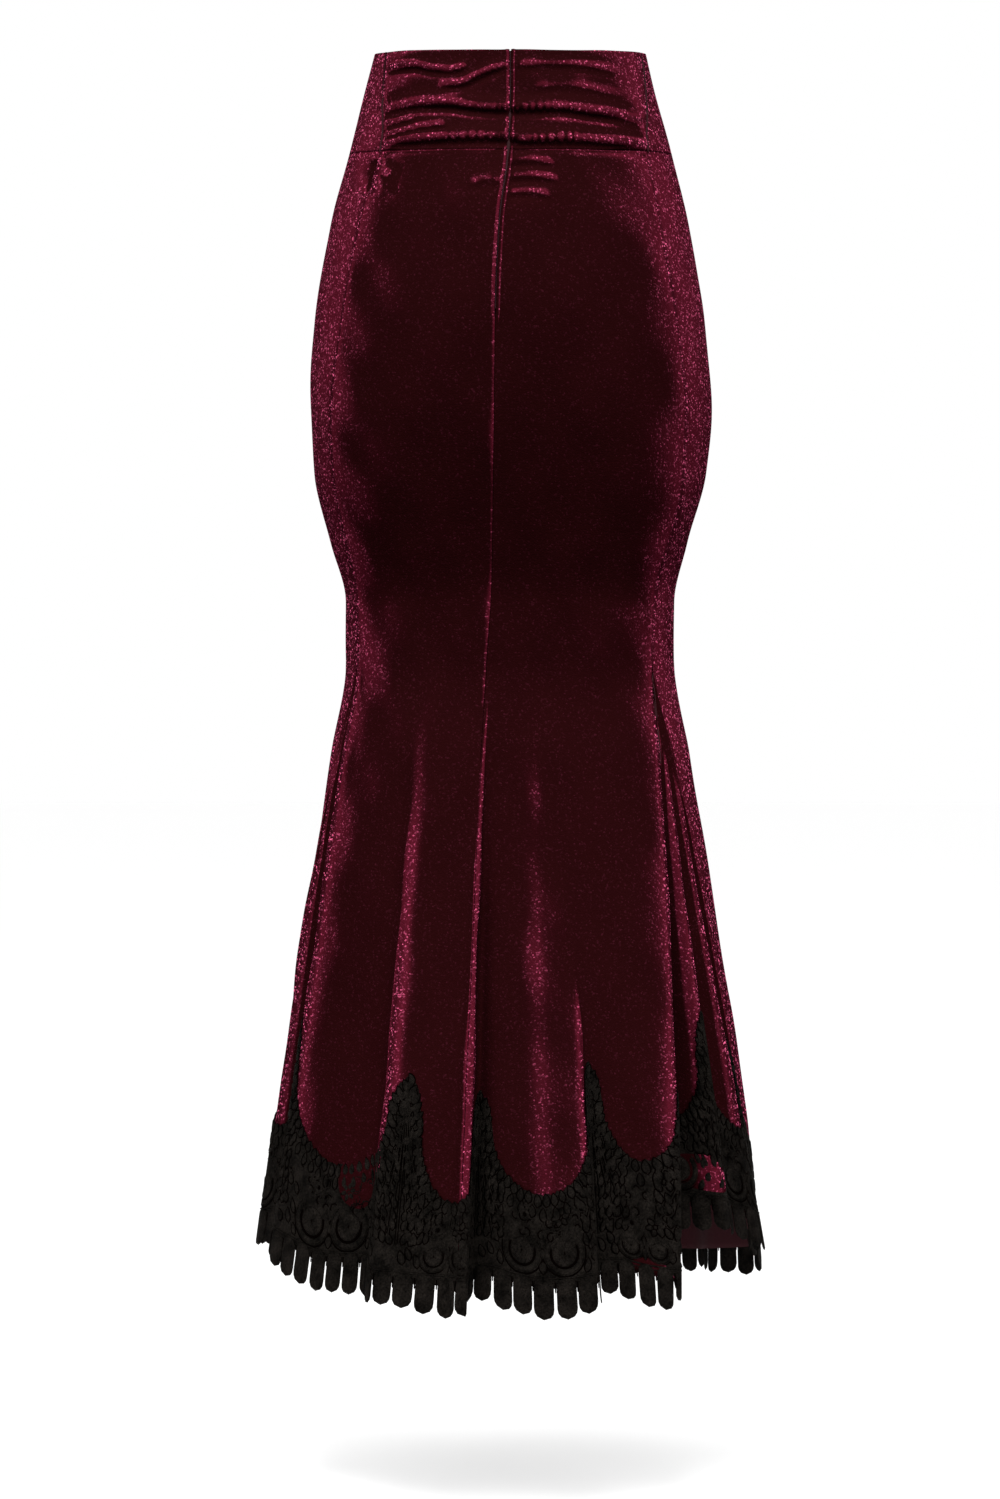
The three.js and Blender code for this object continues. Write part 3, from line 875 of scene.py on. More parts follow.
@dataclass(frozen=True)
class VelvetFinish:
    """The face of the panne velvet, with its sheen painted into the colour: nearly black wine seen square on,
    and crimson where it turns away; lighter on a crest as a painted highlight, and darker in a hollow as
    painted shade.
    Its stops are looked up by how far it turns away."""

    name: str = "wine panne velvet"
    cells: float = 760.0  # pebbles to a metre
    relief: float = 0.00016
    slack: float = 0.0012
    slack_scale: float = 17.0
    patches: float = 0.16
    patch_scale: float = 9.0
    # painted sheen: the colour by how far the surface turns away from the camera
    stops: tuple = (
        (0.0, (0.0064, 0.0009, 0.0011)),
        (0.14, (0.0068, 0.0009, 0.0012)),
        (0.24, (0.0098, 0.0011, 0.0018)),
        (0.36, (0.0195, 0.0018, 0.0037)),
        (0.5, (0.031, 0.0025, 0.0058)),
        (0.62, (0.028, 0.0023, 0.0054)),
        (0.78, (0.018, 0.0018, 0.0036)),
        (1.0, (0.010, 0.001, 0.002)),
    )
    # painted highlight: how much lighter the colour is on a crest
    crest: float = 0.48
    hollow: float = 1.2  # how much more a hollow's painted shade counts than a crest's painted highlight
    # painted glints: a few pebbles mixed towards pale crimson, as painted highlights
    glint: tuple[float, float, float] = (0.6, 0.09, 0.2)
    rarity: float = 10.0  # a higher power leaves fewer pebbles glinting
    glint_from: float = 0.16  # how far turned away the glints start
    glint_least: float = 0.015
    roughness: float = 0.5
    metallic: float = 0.12
    edge_tint: tuple[float, float, float] = (0.2, 0.015, 0.04)
    sheen: float = 0.01
    sheen_roughness: float = 0.3
    sheen_tint: tuple[float, float, float] = (0.85, 0.06, 0.25)
    painted_top_light: tuple[float, float] = (1.15, 0.95)  # painted top light: the colour's brightness at level and its rise with the upward tilt, so undersides get painted shade

    def build(self, pebbles: bpy.types.NodeTree) -> bpy.types.Material:
        """Makes the material.

        Args:
            pebbles: The embossed pile's node group.

        Returns:
            The material.
        """
        material, nodes, shader = new_material(self.name)
        place = nodes.add("TexCoord").outputs["Object"]
        pile = nodes.add("Group", node_tree=pebbles)
        nodes.tree.links.new(place, pile.inputs["Vector"])
        pile.inputs["Cells"].default_value = self.cells
        inputs = {"Vector": place, "Scale": self.slack_scale, "Detail": 1.0, "Roughness": 0.4}
        soft = nodes.add("TexNoise", inputs)
        slack = nodes.bump(soft.outputs["Fac"], self.slack)
        bump = nodes.add("Bump", {"Height": pile.outputs["Height"], "Distance": self.relief, "Normal": slack})
        facing = nodes.add("LayerWeight", {"Blend": 0.5, "Normal": bump.outputs["Normal"]}).outputs["Facing"]
        noise = nodes.add("TexNoise", {"Vector": place, "Scale": self.patch_scale, "Detail": 2.0})
        patches = nodes.maths("SUBTRACT", noise.outputs["Fac"], 0.5)
        turned = nodes.maths("MULTIPLY_ADD", patches, self.patches, facing)
        # painted highlight on crests and painted shade in hollows, from the crest attribute
        crest = nodes.add("Attribute", attribute_name="crest").outputs["Fac"]
        turned = nodes.maths("MULTIPLY_ADD", crest, self.crest, turned)
        hollow = nodes.maths("MINIMUM", crest, 0.0)
        turned = nodes.maths("MULTIPLY_ADD", hollow, self.hollow * self.crest, turned)
        # The ramp paints the sheen, the crest highlights and the hollow shade into the base colour.
        colour = nodes.ramp(turned, self.stops)
        # painted glints on rare pebbles where the velvet turns away
        rare = nodes.maths("POWER", pile.outputs["Glint"], self.rarity)
        past = nodes.maths("MAXIMUM", nodes.maths("SUBTRACT", turned, self.glint_from), self.glint_least)
        lit = nodes.mix(nodes.maths("MULTIPLY", rare, past), colour, (*self.glint, 1.0))
        # painted top light: the colour is darkened where the surface faces down and lightened where it faces
        # up
        up = nodes.add("SeparateXYZ", {0: bump.outputs["Normal"]}).outputs["Z"]
        level, rise = self.painted_top_light
        shade = nodes.add("MapRange", {0: up, 1: -0.5, 2: 0.5, 3: level - rise, 4: level + rise}).outputs[0]
        lit = nodes.add("VectorMath", {0: lit, "Scale": shade}, operation="SCALE").outputs[0]
        nodes.tree.links.new(lit, shader.inputs["Base Color"])
        nodes.tree.links.new(bump.outputs["Normal"], shader.inputs["Normal"])
        shader.inputs["Roughness"].default_value = self.roughness
        shader.inputs["Metallic"].default_value = self.metallic
        shader.inputs["Specular IOR Level"].default_value = 0.0
        shader.inputs["Specular Tint"].default_value = (*self.edge_tint, 1.0)
        shader.inputs["Sheen Weight"].default_value = self.sheen
        shader.inputs["Sheen Roughness"].default_value = self.sheen_roughness
        shader.inputs["Sheen Tint"].default_value = (*self.sheen_tint, 1.0)
        return material


@dataclass(frozen=True)
class PlainFinish:
    """A matt material of one colour with a fine grain."""

    name: str
    colour: tuple[float, float, float]
    roughness: float
    grain: float = 900.0
    relief: float = 0.0002
    gloss: float = 0.1

    def build(self) -> bpy.types.Material:
        """Makes the material.

        Returns:
            The material.
        """
        material, nodes, shader = new_material(self.name)
        place = nodes.add("TexCoord").outputs["Object"]
        noise = nodes.add("TexNoise", {"Vector": place, "Scale": self.grain, "Detail": 2.0})
        nodes.tree.links.new(nodes.bump(noise.outputs["Fac"], self.relief), shader.inputs["Normal"])
        shader.inputs["Base Color"].default_value = (*self.colour, 1.0)
        shader.inputs["Roughness"].default_value = self.roughness
        shader.inputs["Specular IOR Level"].default_value = self.gloss
        return material


@dataclass(frozen=True)
class LaceFinish:
    """The lace's charcoal yarn."""

    name: str = "charcoal lace yarn"
    dark: tuple[float, float, float] = (0.0006, 0.0005, 0.0004)
    light: tuple[float, float, float] = (0.0125, 0.0102, 0.0086)
    relief: float = 0.0007
    roughness: float = 0.75
    gloss: float = 0.01
    shades: tuple[float, float] = (0.1, 0.42)  # where the yarn is at its darkest and lightest

    def build(self, yarn: bpy.types.NodeTree) -> bpy.types.Material:
        """Makes the material.

        Args:
            yarn: The yarn's node group.

        Returns:
            The material.
        """
        material, nodes, shader = new_material(self.name)
        place = nodes.add("TexCoord").outputs["Object"]
        stitch = nodes.add("UVMap", uv_map="stitch").outputs["UV"]
        thread = nodes.add("Group", node_tree=yarn)
        nodes.tree.links.new(place, thread.inputs["Vector"])
        nodes.tree.links.new(stitch, thread.inputs["Stitch"])
        colour = nodes.ramp(thread.outputs["Shade"], tuple(zip(self.shades, (self.dark, self.light))))
        nodes.tree.links.new(colour, shader.inputs["Base Color"])
        nodes.tree.links.new(nodes.bump(thread.outputs["Height"], self.relief), shader.inputs["Normal"])
        shader.inputs["Roughness"].default_value = self.roughness
        shader.inputs["Specular IOR Level"].default_value = self.gloss
        return material


def new_material(name: str) -> tuple[bpy.types.Material, Nodes, bpy.types.Node]:
    """Starts a material with one Principled shader.

    Args:
        name: The material's name.

    Returns:
        The material, its nodes and the shader.
    """
    material = bpy.data.materials.new(name)
    material.use_nodes = True
    nodes = Nodes(material.node_tree)
    shader = nodes.add("BsdfPrincipled")
    output = nodes.add("OutputMaterial")
    material.node_tree.links.new(shader.outputs["BSDF"], output.inputs["Surface"])
    return material, nodes, shader


class Palette:
    """The skirt's materials."""

    def __init__(self) -> None:
        """Makes every material."""
        self.velvet = VelvetFinish().build(PebbleGroup().build())
        self.reverse = PlainFinish("velvet reverse", (0.018, 0.003, 0.0045), 0.9).build()
        self.yarn = LaceFinish().build(ThreadGroup().build())
        # The lace's dark channels: painted shade between its cords.
        self.net = PlainFinish("lace channel painted shade", (0.001, 0.0005, 0.0004), 0.9, gloss=0.0).build()
        self.zip = PlainFinish("wine zip tape", (0.012, 0.0014, 0.0025), 0.6).build()


def grid_faces(columns: int, rows: int, start: int = 0) -> Array:
    """Gives the quads of a grid of points, facing the way of down crossed with across.

    Args:
        columns: How many columns the grid has.
        rows: How many points each column has.
        start: The number of the grid's first point.

    Returns:
        Four point numbers to a quad.
    """
    c, r = np.meshgrid(np.arange(columns - 1), np.arange(rows - 1), indexing="ij")
    first = (start + c * rows + r).ravel()
    return np.stack([first, first + 1, first + rows + 1, first + rows], axis=-1)


def mesh_object(name: str, points: Array, faces: Array, uvs: Array | None = None) -> Object:
    """Makes a smooth mesh object at the origin.

    Args:
        name: The object's name.
        points: Its points in millimetres.
        faces: Its faces, as point numbers.
        uvs: A place in its flat pattern for each point, in millimetres.

    Returns:
        The object.
    """
    mesh = bpy.data.meshes.new(name)
    mesh.from_pydata((points.reshape(-1, 3) * MM).tolist(), [], faces.tolist())
    mesh.polygons.foreach_set("use_smooth", np.ones(len(faces), bool))
    if uvs is not None:
        layer = mesh.uv_layers.new(name="stitch")
        corners = np.empty(len(mesh.loops), int)
        mesh.loops.foreach_get("vertex_index", corners)
        layer.data.foreach_set("uv", uvs.reshape(-1, 2)[corners].astype(float).ravel())
    mesh.update()
    item = bpy.data.objects.new(name, mesh)
    bpy.context.scene.collection.objects.link(item)
    return item


def thicken(item: Object, thickness: float, inner_material: int) -> None:
    """Gives a sheet its wall, on the inner side of its face.

    Args:
        item: The sheet.
        thickness: The wall, in millimetres.
        inner_material: How many material slots on from the face's the inner side's lies.
    """
    solid = item.modifiers.new("wall", "SOLIDIFY")
    solid.thickness = thickness * MM
    solid.offset = -1.0
    solid.material_offset = inner_material
    solid.use_quality_normals = True


@dataclass(frozen=True)
class Cut:
    """A piece of velvet: the node it stands for, the seams it runs between, and the size of the cloth that it
    was cut from, with its flat area, in metres."""

    node: str
    start: Seam
    end: Seam
    flat: tuple[float, float]
    area: float
    rests_on: tuple[str, ...] = ("yoke_front", "yoke_back_right", "yoke_back_left")


YOKE_CUTS = (
    Cut("yoke_back_right", Seam.CENTRE_BACK, Seam.RIGHT_BACK, (0.155, 0.093), 0.0124, ()),
    Cut("yoke_front", Seam.RIGHT_BACK, Seam.LEFT_BACK, (0.52, 0.093), 0.0423, ()),
    Cut("yoke_back_left", Seam.LEFT_BACK, Seam.CENTRE_BACK, (0.145, 0.093), 0.0114, ()),
)
SKIRT_CUTS = (
    Cut("back_panel_right", Seam.CENTRE_BACK, Seam.RIGHT_BACK, (0.26, 0.955), 0.171),
    Cut("godet_right", Seam.RIGHT_BACK, Seam.RIGHT_FRONT, (0.265, 0.51), 0.0463),
    Cut("front_panel", Seam.RIGHT_FRONT, Seam.LEFT_FRONT, (0.595, 0.985), 0.51),
    Cut("godet_left", Seam.LEFT_FRONT, Seam.LEFT_BACK, (0.21, 0.52), 0.0415),
    Cut("back_panel_left", Seam.LEFT_BACK, Seam.CENTRE_BACK, (0.23, 0.95), 0.15),
)


class VelvetPiece:
    """One piece of velvet, taken from a ring of cloth between two seams."""

    def __init__(self, cut: Cut, surface: Surface, ring: Ring, first_row: int = 0) -> None:
        """Takes the piece's columns, and draws its two sides in from the seams.

        Args:
            cut: The piece.
            surface: The surface that the ring was built by.
            ring: The cloth all round.
            first_row: The row that the piece starts at.
        """
        self.cut = cut
        start = surface.column_at(surface.figure.seam_place(cut.start))
        end = surface.column_at(surface.figure.seam_place(cut.end)) if cut.end is not Seam.CENTRE_BACK else -1
        columns = slice(start, None if end == -1 else end + 1)
        self.points = self._drawn_in(ring.points[columns, first_row:])
        self.crests = ring.crests[columns, first_row:]

    def _drawn_in(self, points: Array) -> Array:
        """Moves the columns from the seams towards the piece's middle, most at its sides.

        Args:
            points: The piece's points, by column and row.

        Returns:
            The moved points.
        """
        share = np.linspace(1, -1, len(points))
        step = np.where(share > 0, 1, -1)
        index = np.arange(len(points))
        way = unit(points[np.clip(index + step, 0, len(points) - 1)] - points)
        gap = np.full(points.shape[:2], SEAM_GAP / 2)
        for seam, columns in ((self.cut.start, share > 0), (self.cut.end, share < 0)):
            if seam is Seam.CENTRE_BACK:
                zipped = -points[columns, :, 2] < Surface.welt_drop + BACK_DIP
                gap[columns] = np.where(zipped, ZIP_GAP, SEAM_GAP / 2)
        return points + way * (gap * np.abs(share)[:, None])[..., None]

    def build(self, palette: Palette) -> Object:
        """Args:
            palette: The materials.

        Returns:
            The object.
        """
        columns, rows = self.points.shape[:2]
        item = mesh_object(f"velvet_{self.cut.node}", self.points, grid_faces(columns, rows))
        layer = item.data.attributes.new("crest", "FLOAT", "POINT")
        layer.data.foreach_set("value", self.crests.astype(float).ravel())
        item.data.materials.append(palette.velvet)
        item.data.materials.append(palette.reverse)
        thicken(item, VELVET_WALL, 1)
        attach(item, "root")
        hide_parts(self.cut.node)
        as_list(self.cut.rests_on)
        along = np.linalg.norm(np.diff(self.points, axis=1), axis=-1).sum(axis=1)
        across = np.linalg.norm(np.diff(self.points, axis=0), axis=-1).sum(axis=0)
        log.info("%s: %d points, %.0f to %.0f mm long, %.0f to %.0f mm wide", self.cut.node, columns * rows,
                 along.min(), along.max(), across.min(), across.max())
        return item


class Ends(Enum):
    """How a strip of lace narrows to its ends."""

    ROUND = "round"
    LEAF = "leaf"
    TAPER = "taper"
    LOOP = "loop"


@dataclass(frozen=True)
class Patch:
    """A raised patch of corded lace, drawn flat as a strip of a half width along a path of (x, y) points."""

    path: tuple[tuple[float, float], ...]
    half: float
    height: float = 0.9
    ends: Ends = Ends.ROUND
    lift: float = 0.0
    # whether the patch is a low dark strip of painted shade in a channel
    dark: bool = False
    NARROW: ClassVar[float] = 1.45  # half widths under this have no flat top
    STEP: ClassVar[float] = 3.0  # between points of the line
    COUNTS: ClassVar[tuple[int, int]] = (7, 36)  # the fewest and the most points of a line
    EDGE: ClassVar[float] = 1.1  # how far in from its sides a patch rounds over
    THIN: ClassVar[float] = 0.8  # half widths under this are lower too

    def line(self) -> Array:
        """Gives the path as closely spaced points, closer together at round ends.

        Returns:
            The points of the line.
        """
        path = np.array(self.path, float)
        steps = np.concatenate([[0], np.cumsum(np.linalg.norm(np.diff(path, axis=0), axis=1))])
        count = int(np.clip(steps[-1] / self.STEP, *self.COUNTS))
        t = np.linspace(0, 1, count)
        if self.ends is Ends.ROUND:
            t = (1 - np.cos(np.pi * t)) / 2 * 0.5 + t * 0.5
        smooth = [Curve(steps / steps[-1], path[:, i])(t) for i in range(2)]
        return np.stack(smooth, axis=-1)

    def widths(self, line: Array) -> Array:
        """Gives the half width at each point of the line.

        Args:
            line: The points of the line.

        Returns:
            The half widths.
        """
        steps = np.concatenate([[0], np.cumsum(np.linalg.norm(np.diff(line, axis=0), axis=1))])
        t = steps / steps[-1]
        if self.ends is Ends.LOOP:
            return np.full(len(line), self.half)
        if self.ends is Ends.LEAF:
            return self.half * np.sin(np.pi * t**0.8) ** 0.75
        if self.ends is Ends.TAPER:
            return self.half * (1 - t) ** 0.6 * np.minimum(1, t * 12) ** 0.5
        from_end = np.minimum(steps, steps[-1] - steps) / self.half
        return self.half * np.sqrt(1 - (1 - np.minimum(1, from_end)) ** 2)

    def relief(self) -> tuple[Array, Array, Array]:
        """Builds the patch flat.

        Returns:
            Its points as x, y and height over the ground, its faces, and each point's place along and
            across it.
        """
        line = self.line()
        half = self.widths(line)
        way = np.gradient(line, axis=0)
        if self.ends is Ends.LOOP:
            way[0] = way[-1] = way[0] + way[-1]
        way = unit(way)
        side = np.stack([way[:, 1], -way[:, 0]], axis=-1)
        edge = np.minimum(self.EDGE, half * 0.6)
        if self.dark or self.half < self.NARROW:
            across = np.stack([-half, 0 * half, half], 1)
        else:
            across = np.stack([-half, edge * 0.7 - half, 0 * half, half - edge * 0.7, half], 1)
        rise = np.minimum(1, (half[:, None] - np.abs(across)) / np.maximum(edge, 0.05)[:, None])
        z = self.lift + self.height * np.sqrt(1 - (1 - rise) ** 2) * np.minimum(1, half / self.THIN)[:, None]
        flat = line[:, None] + side[:, None] * across[..., None]
        steps = np.concatenate([[0], np.cumsum(np.linalg.norm(np.diff(line, axis=0), axis=1))])
        stitch = np.stack([np.broadcast_to(steps[:, None], across.shape), across], axis=-1)
        columns, rows = across.shape
        top = grid_faces(columns, rows)
        first = np.arange(columns - 1) * rows
        under = np.stack([first, first + rows, first + 2 * rows - 1, first + rows - 1], axis=-1)
        return np.concatenate([flat, z[..., None]], axis=-1), np.concatenate([top, under]), stitch


def turned(x: float, y: float, reach: float, angle: float) -> tuple[float, float]:
    """Gives the point at a reach from (x, y), at an angle in radians from straight up."""
    return x + reach * math.sin(angle), y + reach * math.cos(angle)


def ring(x: float, y: float, inner: float, outer: float, start: float = 0.0, turn: float = 360.0) -> tuple:
    """Gives the path and half width of a band round a point.

    Args:
        x: The point's x.
        y: The point's y.
        inner: The band's inner radius.
        outer: The band's outer radius.
        start: Degrees from straight up where it starts.
        turn: How many degrees round it goes.

    Returns:
        The path and the half width.
    """
    angles = np.radians(start + np.linspace(0, turn, max(8, int(turn / 12))))
    radius = (inner + outer) / 2
    return tuple(turned(x, y, radius, a) for a in angles), (outer - inner) / 2


class LaceEdges:
    """The lace's edges, as heights over the hem, by the repeat that a place lies in."""

    BELOW, SCALLOP = 14.0, 12.0  # how far the tongues hang, and how much further in the middle of an arch
    ARCH, SPRING = 0.37, 0.6  # an arch's half width, as a share of its repeat, and where its sides turn up
    TIP_BEND, SCALLOP_BEND = 0.36, 0.6  # lower powers are blunter peaks and fuller scallops

    def __init__(self, figure: Figure) -> None:
        """Lays the peaks out round the hem.

        Args:
            figure: The form that the lace lies on.
        """
        self.figure = figure
        count = len(LACE_PEAKS)
        turns = [(turn, i, row) for turn in (-1, 0, 1) for i, row in enumerate(LACE_PEAKS)]
        self.along = np.array([row.at + turn * figure.girth for turn, _, row in turns])
        self.repeat = np.array([i + turn * count for turn, i, _ in turns], float)
        self.to_repeat = Curve(self.along, self.repeat)

    def peak(self, repeat: Array) -> Array:
        """Gives the height of the peaks that whole repeats start at."""
        return np.array([row.peak for row in LACE_PEAKS])[np.asarray(repeat, int) % len(LACE_PEAKS)]

    def arch(self, repeat: Array) -> Array:
        """Gives the height of the arch that follows each peak."""
        return np.array([row.arch for row in LACE_PEAKS])[np.asarray(repeat, int) % len(LACE_PEAKS)]

    def top(self, along: Array) -> Array:
        """Gives the height of the upper edge.

        Args:
            along: Lengths round the hem.

        Returns:
            Heights over the hem.
        """
        repeat = self.to_repeat(along)
        before = np.floor(repeat)
        from_middle = np.abs(repeat - before - 0.5)
        peak = np.where(repeat - before < 0.5, self.peak(before), self.peak(before + 1))
        arch = self.arch(before)
        spring = lerp(arch, peak, self.SPRING)
        across = np.minimum(from_middle / self.ARCH, 1)
        low = lerp(arch, spring, 1 - np.sqrt(1 - across**2))
        past = np.maximum(from_middle - self.ARCH, 0) / (0.5 - self.ARCH)
        return np.where(from_middle < self.ARCH, low, lerp(spring, peak, past**self.TIP_BEND))

    def bottom(self, along: Array) -> Array:
        """Gives the height of the lower edge, which is below 0."""
        turned = np.abs(np.sin(np.pi * self.to_repeat(along)))
        return -self.BELOW - self.SCALLOP * turned**self.SCALLOP_BEND


Patches = Iterable[Patch]


class Motif:
    """A part of the lace's drawing, in millimetres about one length round the hem."""

    CHANNEL = 0.9  # the width of the channel of painted shade round a leaf
    VEINED = 2.4  # leaves of more than this half width have a vein

    def __init__(self, edges: LaceEdges, random: np.random.Generator, middle: float, width: float) -> None:
        """Starts the motif.

        Args:
            edges: The lace's edges.
            random: Draws the small unevenness of each patch.
            middle: The length round the hem that its x is measured from.
            width: How wide its repeat is.
        """
        self.edges = edges
        self.random = random
        self.middle = middle
        self.width = width

    def about(self, value: float, spread: float) -> float:
        """Gives a value moved at random within a spread."""
        return value + float(self.random.uniform(-spread, spread))

    def top(self, x: float) -> float:
        """Gives the height of the lace's upper edge at an x."""
        return float(self.edges.top(np.array(self.middle + x)))

    def leaf(self, root: Sequence[float], tip: Sequence[float], half: float, bend: float = 0.0) -> Patches:
        """Gives a leaf with a channel of painted shade round it, and a vein.

        Args:
            root: Where it grows from.
            tip: Its point.
            half: Its half width.
            bend: How far its middle stands out to one side.

        Returns:
            The patches.
        """
        root, tip = np.array(root, float), np.array(tip, float)
        way = unit(tip - root)
        side = np.array([way[1], -way[0]])
        middle = (root + tip) / 2 + side * bend
        around = (tuple(root - way), tuple(middle), tuple(tip + way))
        # the channel of painted shade round the leaf
        yield Patch(around, half + self.CHANNEL, 0.2, Ends.LEAF, 0.0, True)
        yield Patch((tuple(root), tuple(middle), tuple(tip)), half, 0.75, Ends.LEAF)
        if half > self.VEINED:
            ends = (tuple(lerp(root, tip, 0.12)), tuple(middle), tuple(lerp(root, tip, 0.8)))
            yield Patch(ends, 0.4, 0.95, Ends.TAPER)


class ArchMotif(Motif):
    """What the lace shows between two peaks."""

    TONGUE = 17.4  # between tongues, about
    PLAIN_WIDTH = 128.0  # the repeat that the motifs are drawn for
    BANDS = (
        # inner and outer radius, degrees from the top to its start, degrees round, height, whether it is a
        # dark band of painted shade
        (0.0, 10.4, 0.0, 360.0, 0.6, False),
        (9.4, 10.6, 0.0, 360.0, 0.95, False),
        (10.7, 12.6, 62.0, 236.0, 0.18, True),
        (12.7, 16.9, 48.0, 264.0, 0.6, False),
        (12.5, 13.3, 50.0, 260.0, 0.85, False),
        (16.6, 17.8, 44.0, 272.0, 0.95, False),
        (17.9, 19.2, 80.0, 200.0, 0.18, True),
    )
    SPRIGS = ((37, 13), (45, 20), (41, 30), (50, 34), (38, 44), (47, 49), (55, 16))  # roots, to each side
    EDGE_LEAVES = ((0.0, 7.4, 3.1), (10.5, 9.0, 2.8))  # below the edge, apart, and half width
    PICOTS, PETALS = 9, 6

    def tongues(self) -> Patches:
        """Gives the tongues that hang below the hem, each with a vein, and the cords that join them.

        Returns:
            The patches.
        """
        count = round(self.width / self.TONGUE)
        pitch = self.width / count
        for i in range(count):
            x = (i + 0.5) * pitch - self.width / 2
            depth = float(self.edges.bottom(np.array(self.middle + x)))
            low = self.about(depth, 1.6)
            tip = self.about(x, 1.3)
            lift = self.about(0.1, 0.25)
            half = pitch / 2 - self.about(0.8, 0.25)
            yield Patch(((x, 9), (lerp(x, tip, 0.4), 0), (tip, low)), half, 0.9, Ends.ROUND, lift)
            yield Patch(((x, 7), (lerp(x, tip, 0.5), 0), (tip, low + 5)), 0.55, 1.25, Ends.TAPER, lift)
            # a dark strip of painted shade in the gap between two tongues
            yield Patch(((x - pitch / 2, 6), (x - pitch / 2 + 0.2, -4)), 0.6, 0.5, Ends.ROUND, 0.0, True)
        for y, half in ((9.6, 0.9), (6.6, 0.6)):
            bar = tuple((x, y - 1.6 * math.cos(math.pi * x / self.width)) for x in self.across(12))
            yield Patch(bar, half, 1.25)

    def across(self, steps: int) -> Array:
        """Gives evenly spaced places over the repeat."""
        return np.linspace(-0.49, 0.49, steps) * self.width

    def medallions(self) -> Patches:
        """Gives the two medallions, each in bands that are open at the top, with their pinholes.

        Returns:
            The patches.
        """
        size = min(1.1, max(0.62, self.width / self.PLAIN_WIDTH))
        for side in (-1, 1):
            x, y = side * 18.2 * size, 10 + 17.5 * size
            tilt = self.about(0, 9)
            for inner, outer, start, turn, height, dark in self.BANDS:
                ends, start = (Ends.ROUND, start + tilt) if start else (Ends.LOOP, start)
                yield Patch(*ring(x, y, inner * size, outer * size, start, turn), height, ends, 0.0, dark)
            # the pinhole, a dark leaf of painted shade
            yield Patch(((x, y + 2 * size), (x, y - 1.8 * size)), 1.25 * size, 0.95, Ends.LEAF, 0.0, True)
            for angle, reach in ((118, 6), (242, 6), (0, 5)):
                a = math.radians(angle + tilt)
                yield Patch((turned(x, y, 4 * size, a), turned(x, y, (4 + reach) * size, a)), 0.45, 0.85)
        yield from self.leaf((0, 21), (0, 11), 3.2 * size)
        yield from self.leaf((0, 31), (0, 23), 2.4 * size)

    def fillings(self) -> Patches:
        """Gives the small ring with its picots, the flower, and the scrolls around them.

        Returns:
            The patches.
        """
        size = min(1.05, max(0.6, self.width / self.PLAIN_WIDTH))
        x, y = -15 * size, 12 + 44 * size
        yield Patch(*ring(x, y, 1.9, 5.2), 0.85, Ends.LOOP)
        # the ring's eye, painted shade
        yield Patch(*ring(x, y, 0.0, 1.7), 0.3, Ends.LOOP, 0.0, True)
        for i in range(self.PICOTS):
            a = math.tau * i / self.PICOTS
            yield Patch((turned(x, y, 6.6, a), turned(x, y, 8.8, a)), 1.3, 0.8)
        x = 16 * size
        for i in range(self.PETALS):
            a = math.tau * i / self.PETALS + 0.3
            yield from self.leaf(turned(x, y, 2, a), turned(x, y, 8, a), 2.2)
        for side in (-1, 1):
            for reach, low in self.SPRIGS:
                if reach * size < self.width / 2 - 2:
                    root = (side * self.about(reach * size, 1.5), self.about(low, 1.5))
                    tip = (root[0] + side * self.about(3.4, 1.5), root[1] + self.about(10, 1.5))
                    yield from self.leaf(root, tip, self.about(2.8, 0.4), self.about(0, 1.2))
        for _ in range(int(self.width * 0.2)):
            x = float(self.random.uniform(-0.46, 0.46)) * self.width
            high = self.top(x) - 16
            if high > 46:
                y = float(self.random.uniform(40, high))
                start, radius = float(self.random.uniform(0, 360)), self.about(3.6, 1)
                yield Patch(*ring(x, y, radius, radius + 1.3, start, 230), 0.9)
                # painted shade inside the scroll
                yield Patch(*ring(x, y, radius - 1.4, radius - 0.2, start, 200), 0.15, Ends.ROUND, 0.0, True)

    def edging(self) -> Patches:
        """Gives the leaves that follow the upper edge, in two rows, with their points just past it.

        Returns:
            The patches.
        """
        x = np.linspace(-0.5, 0.5, 600) * self.width
        edge = np.stack([x, self.edges.top(self.middle + x)], axis=-1)
        steps = np.concatenate([[0], np.cumsum(np.linalg.norm(np.diff(edge, axis=0), axis=1))])
        for depth, pitch, half in self.EDGE_LEAVES:
            for place in np.arange(pitch / 2, steps[-1], pitch):
                i = int(np.searchsorted(steps, place))
                way = unit(edge[min(i + 6, 599)] - edge[max(i - 6, 0)])
                inward = np.array([way[1], -way[0]])
                inward = unit(inward + (0, -0.55))
                tip = edge[i] + inward * (depth - 0.9 + self.about(0, 0.7))
                root = tip + inward * self.about(10.5, 1.2)
                if root[1] > 12 and (depth == 0 or self.top(float(root[0])) - root[1] > 8):
                    yield from self.leaf(root, tip, self.about(half, 0.3), self.about(0, 0.9))

    def patches(self) -> Patches:
        """Gives every patch of the motif.

        Returns:
            The patches.
        """
        yield from self.tongues()
        yield from self.medallions()
        yield from self.fillings()
        yield from self.edging()


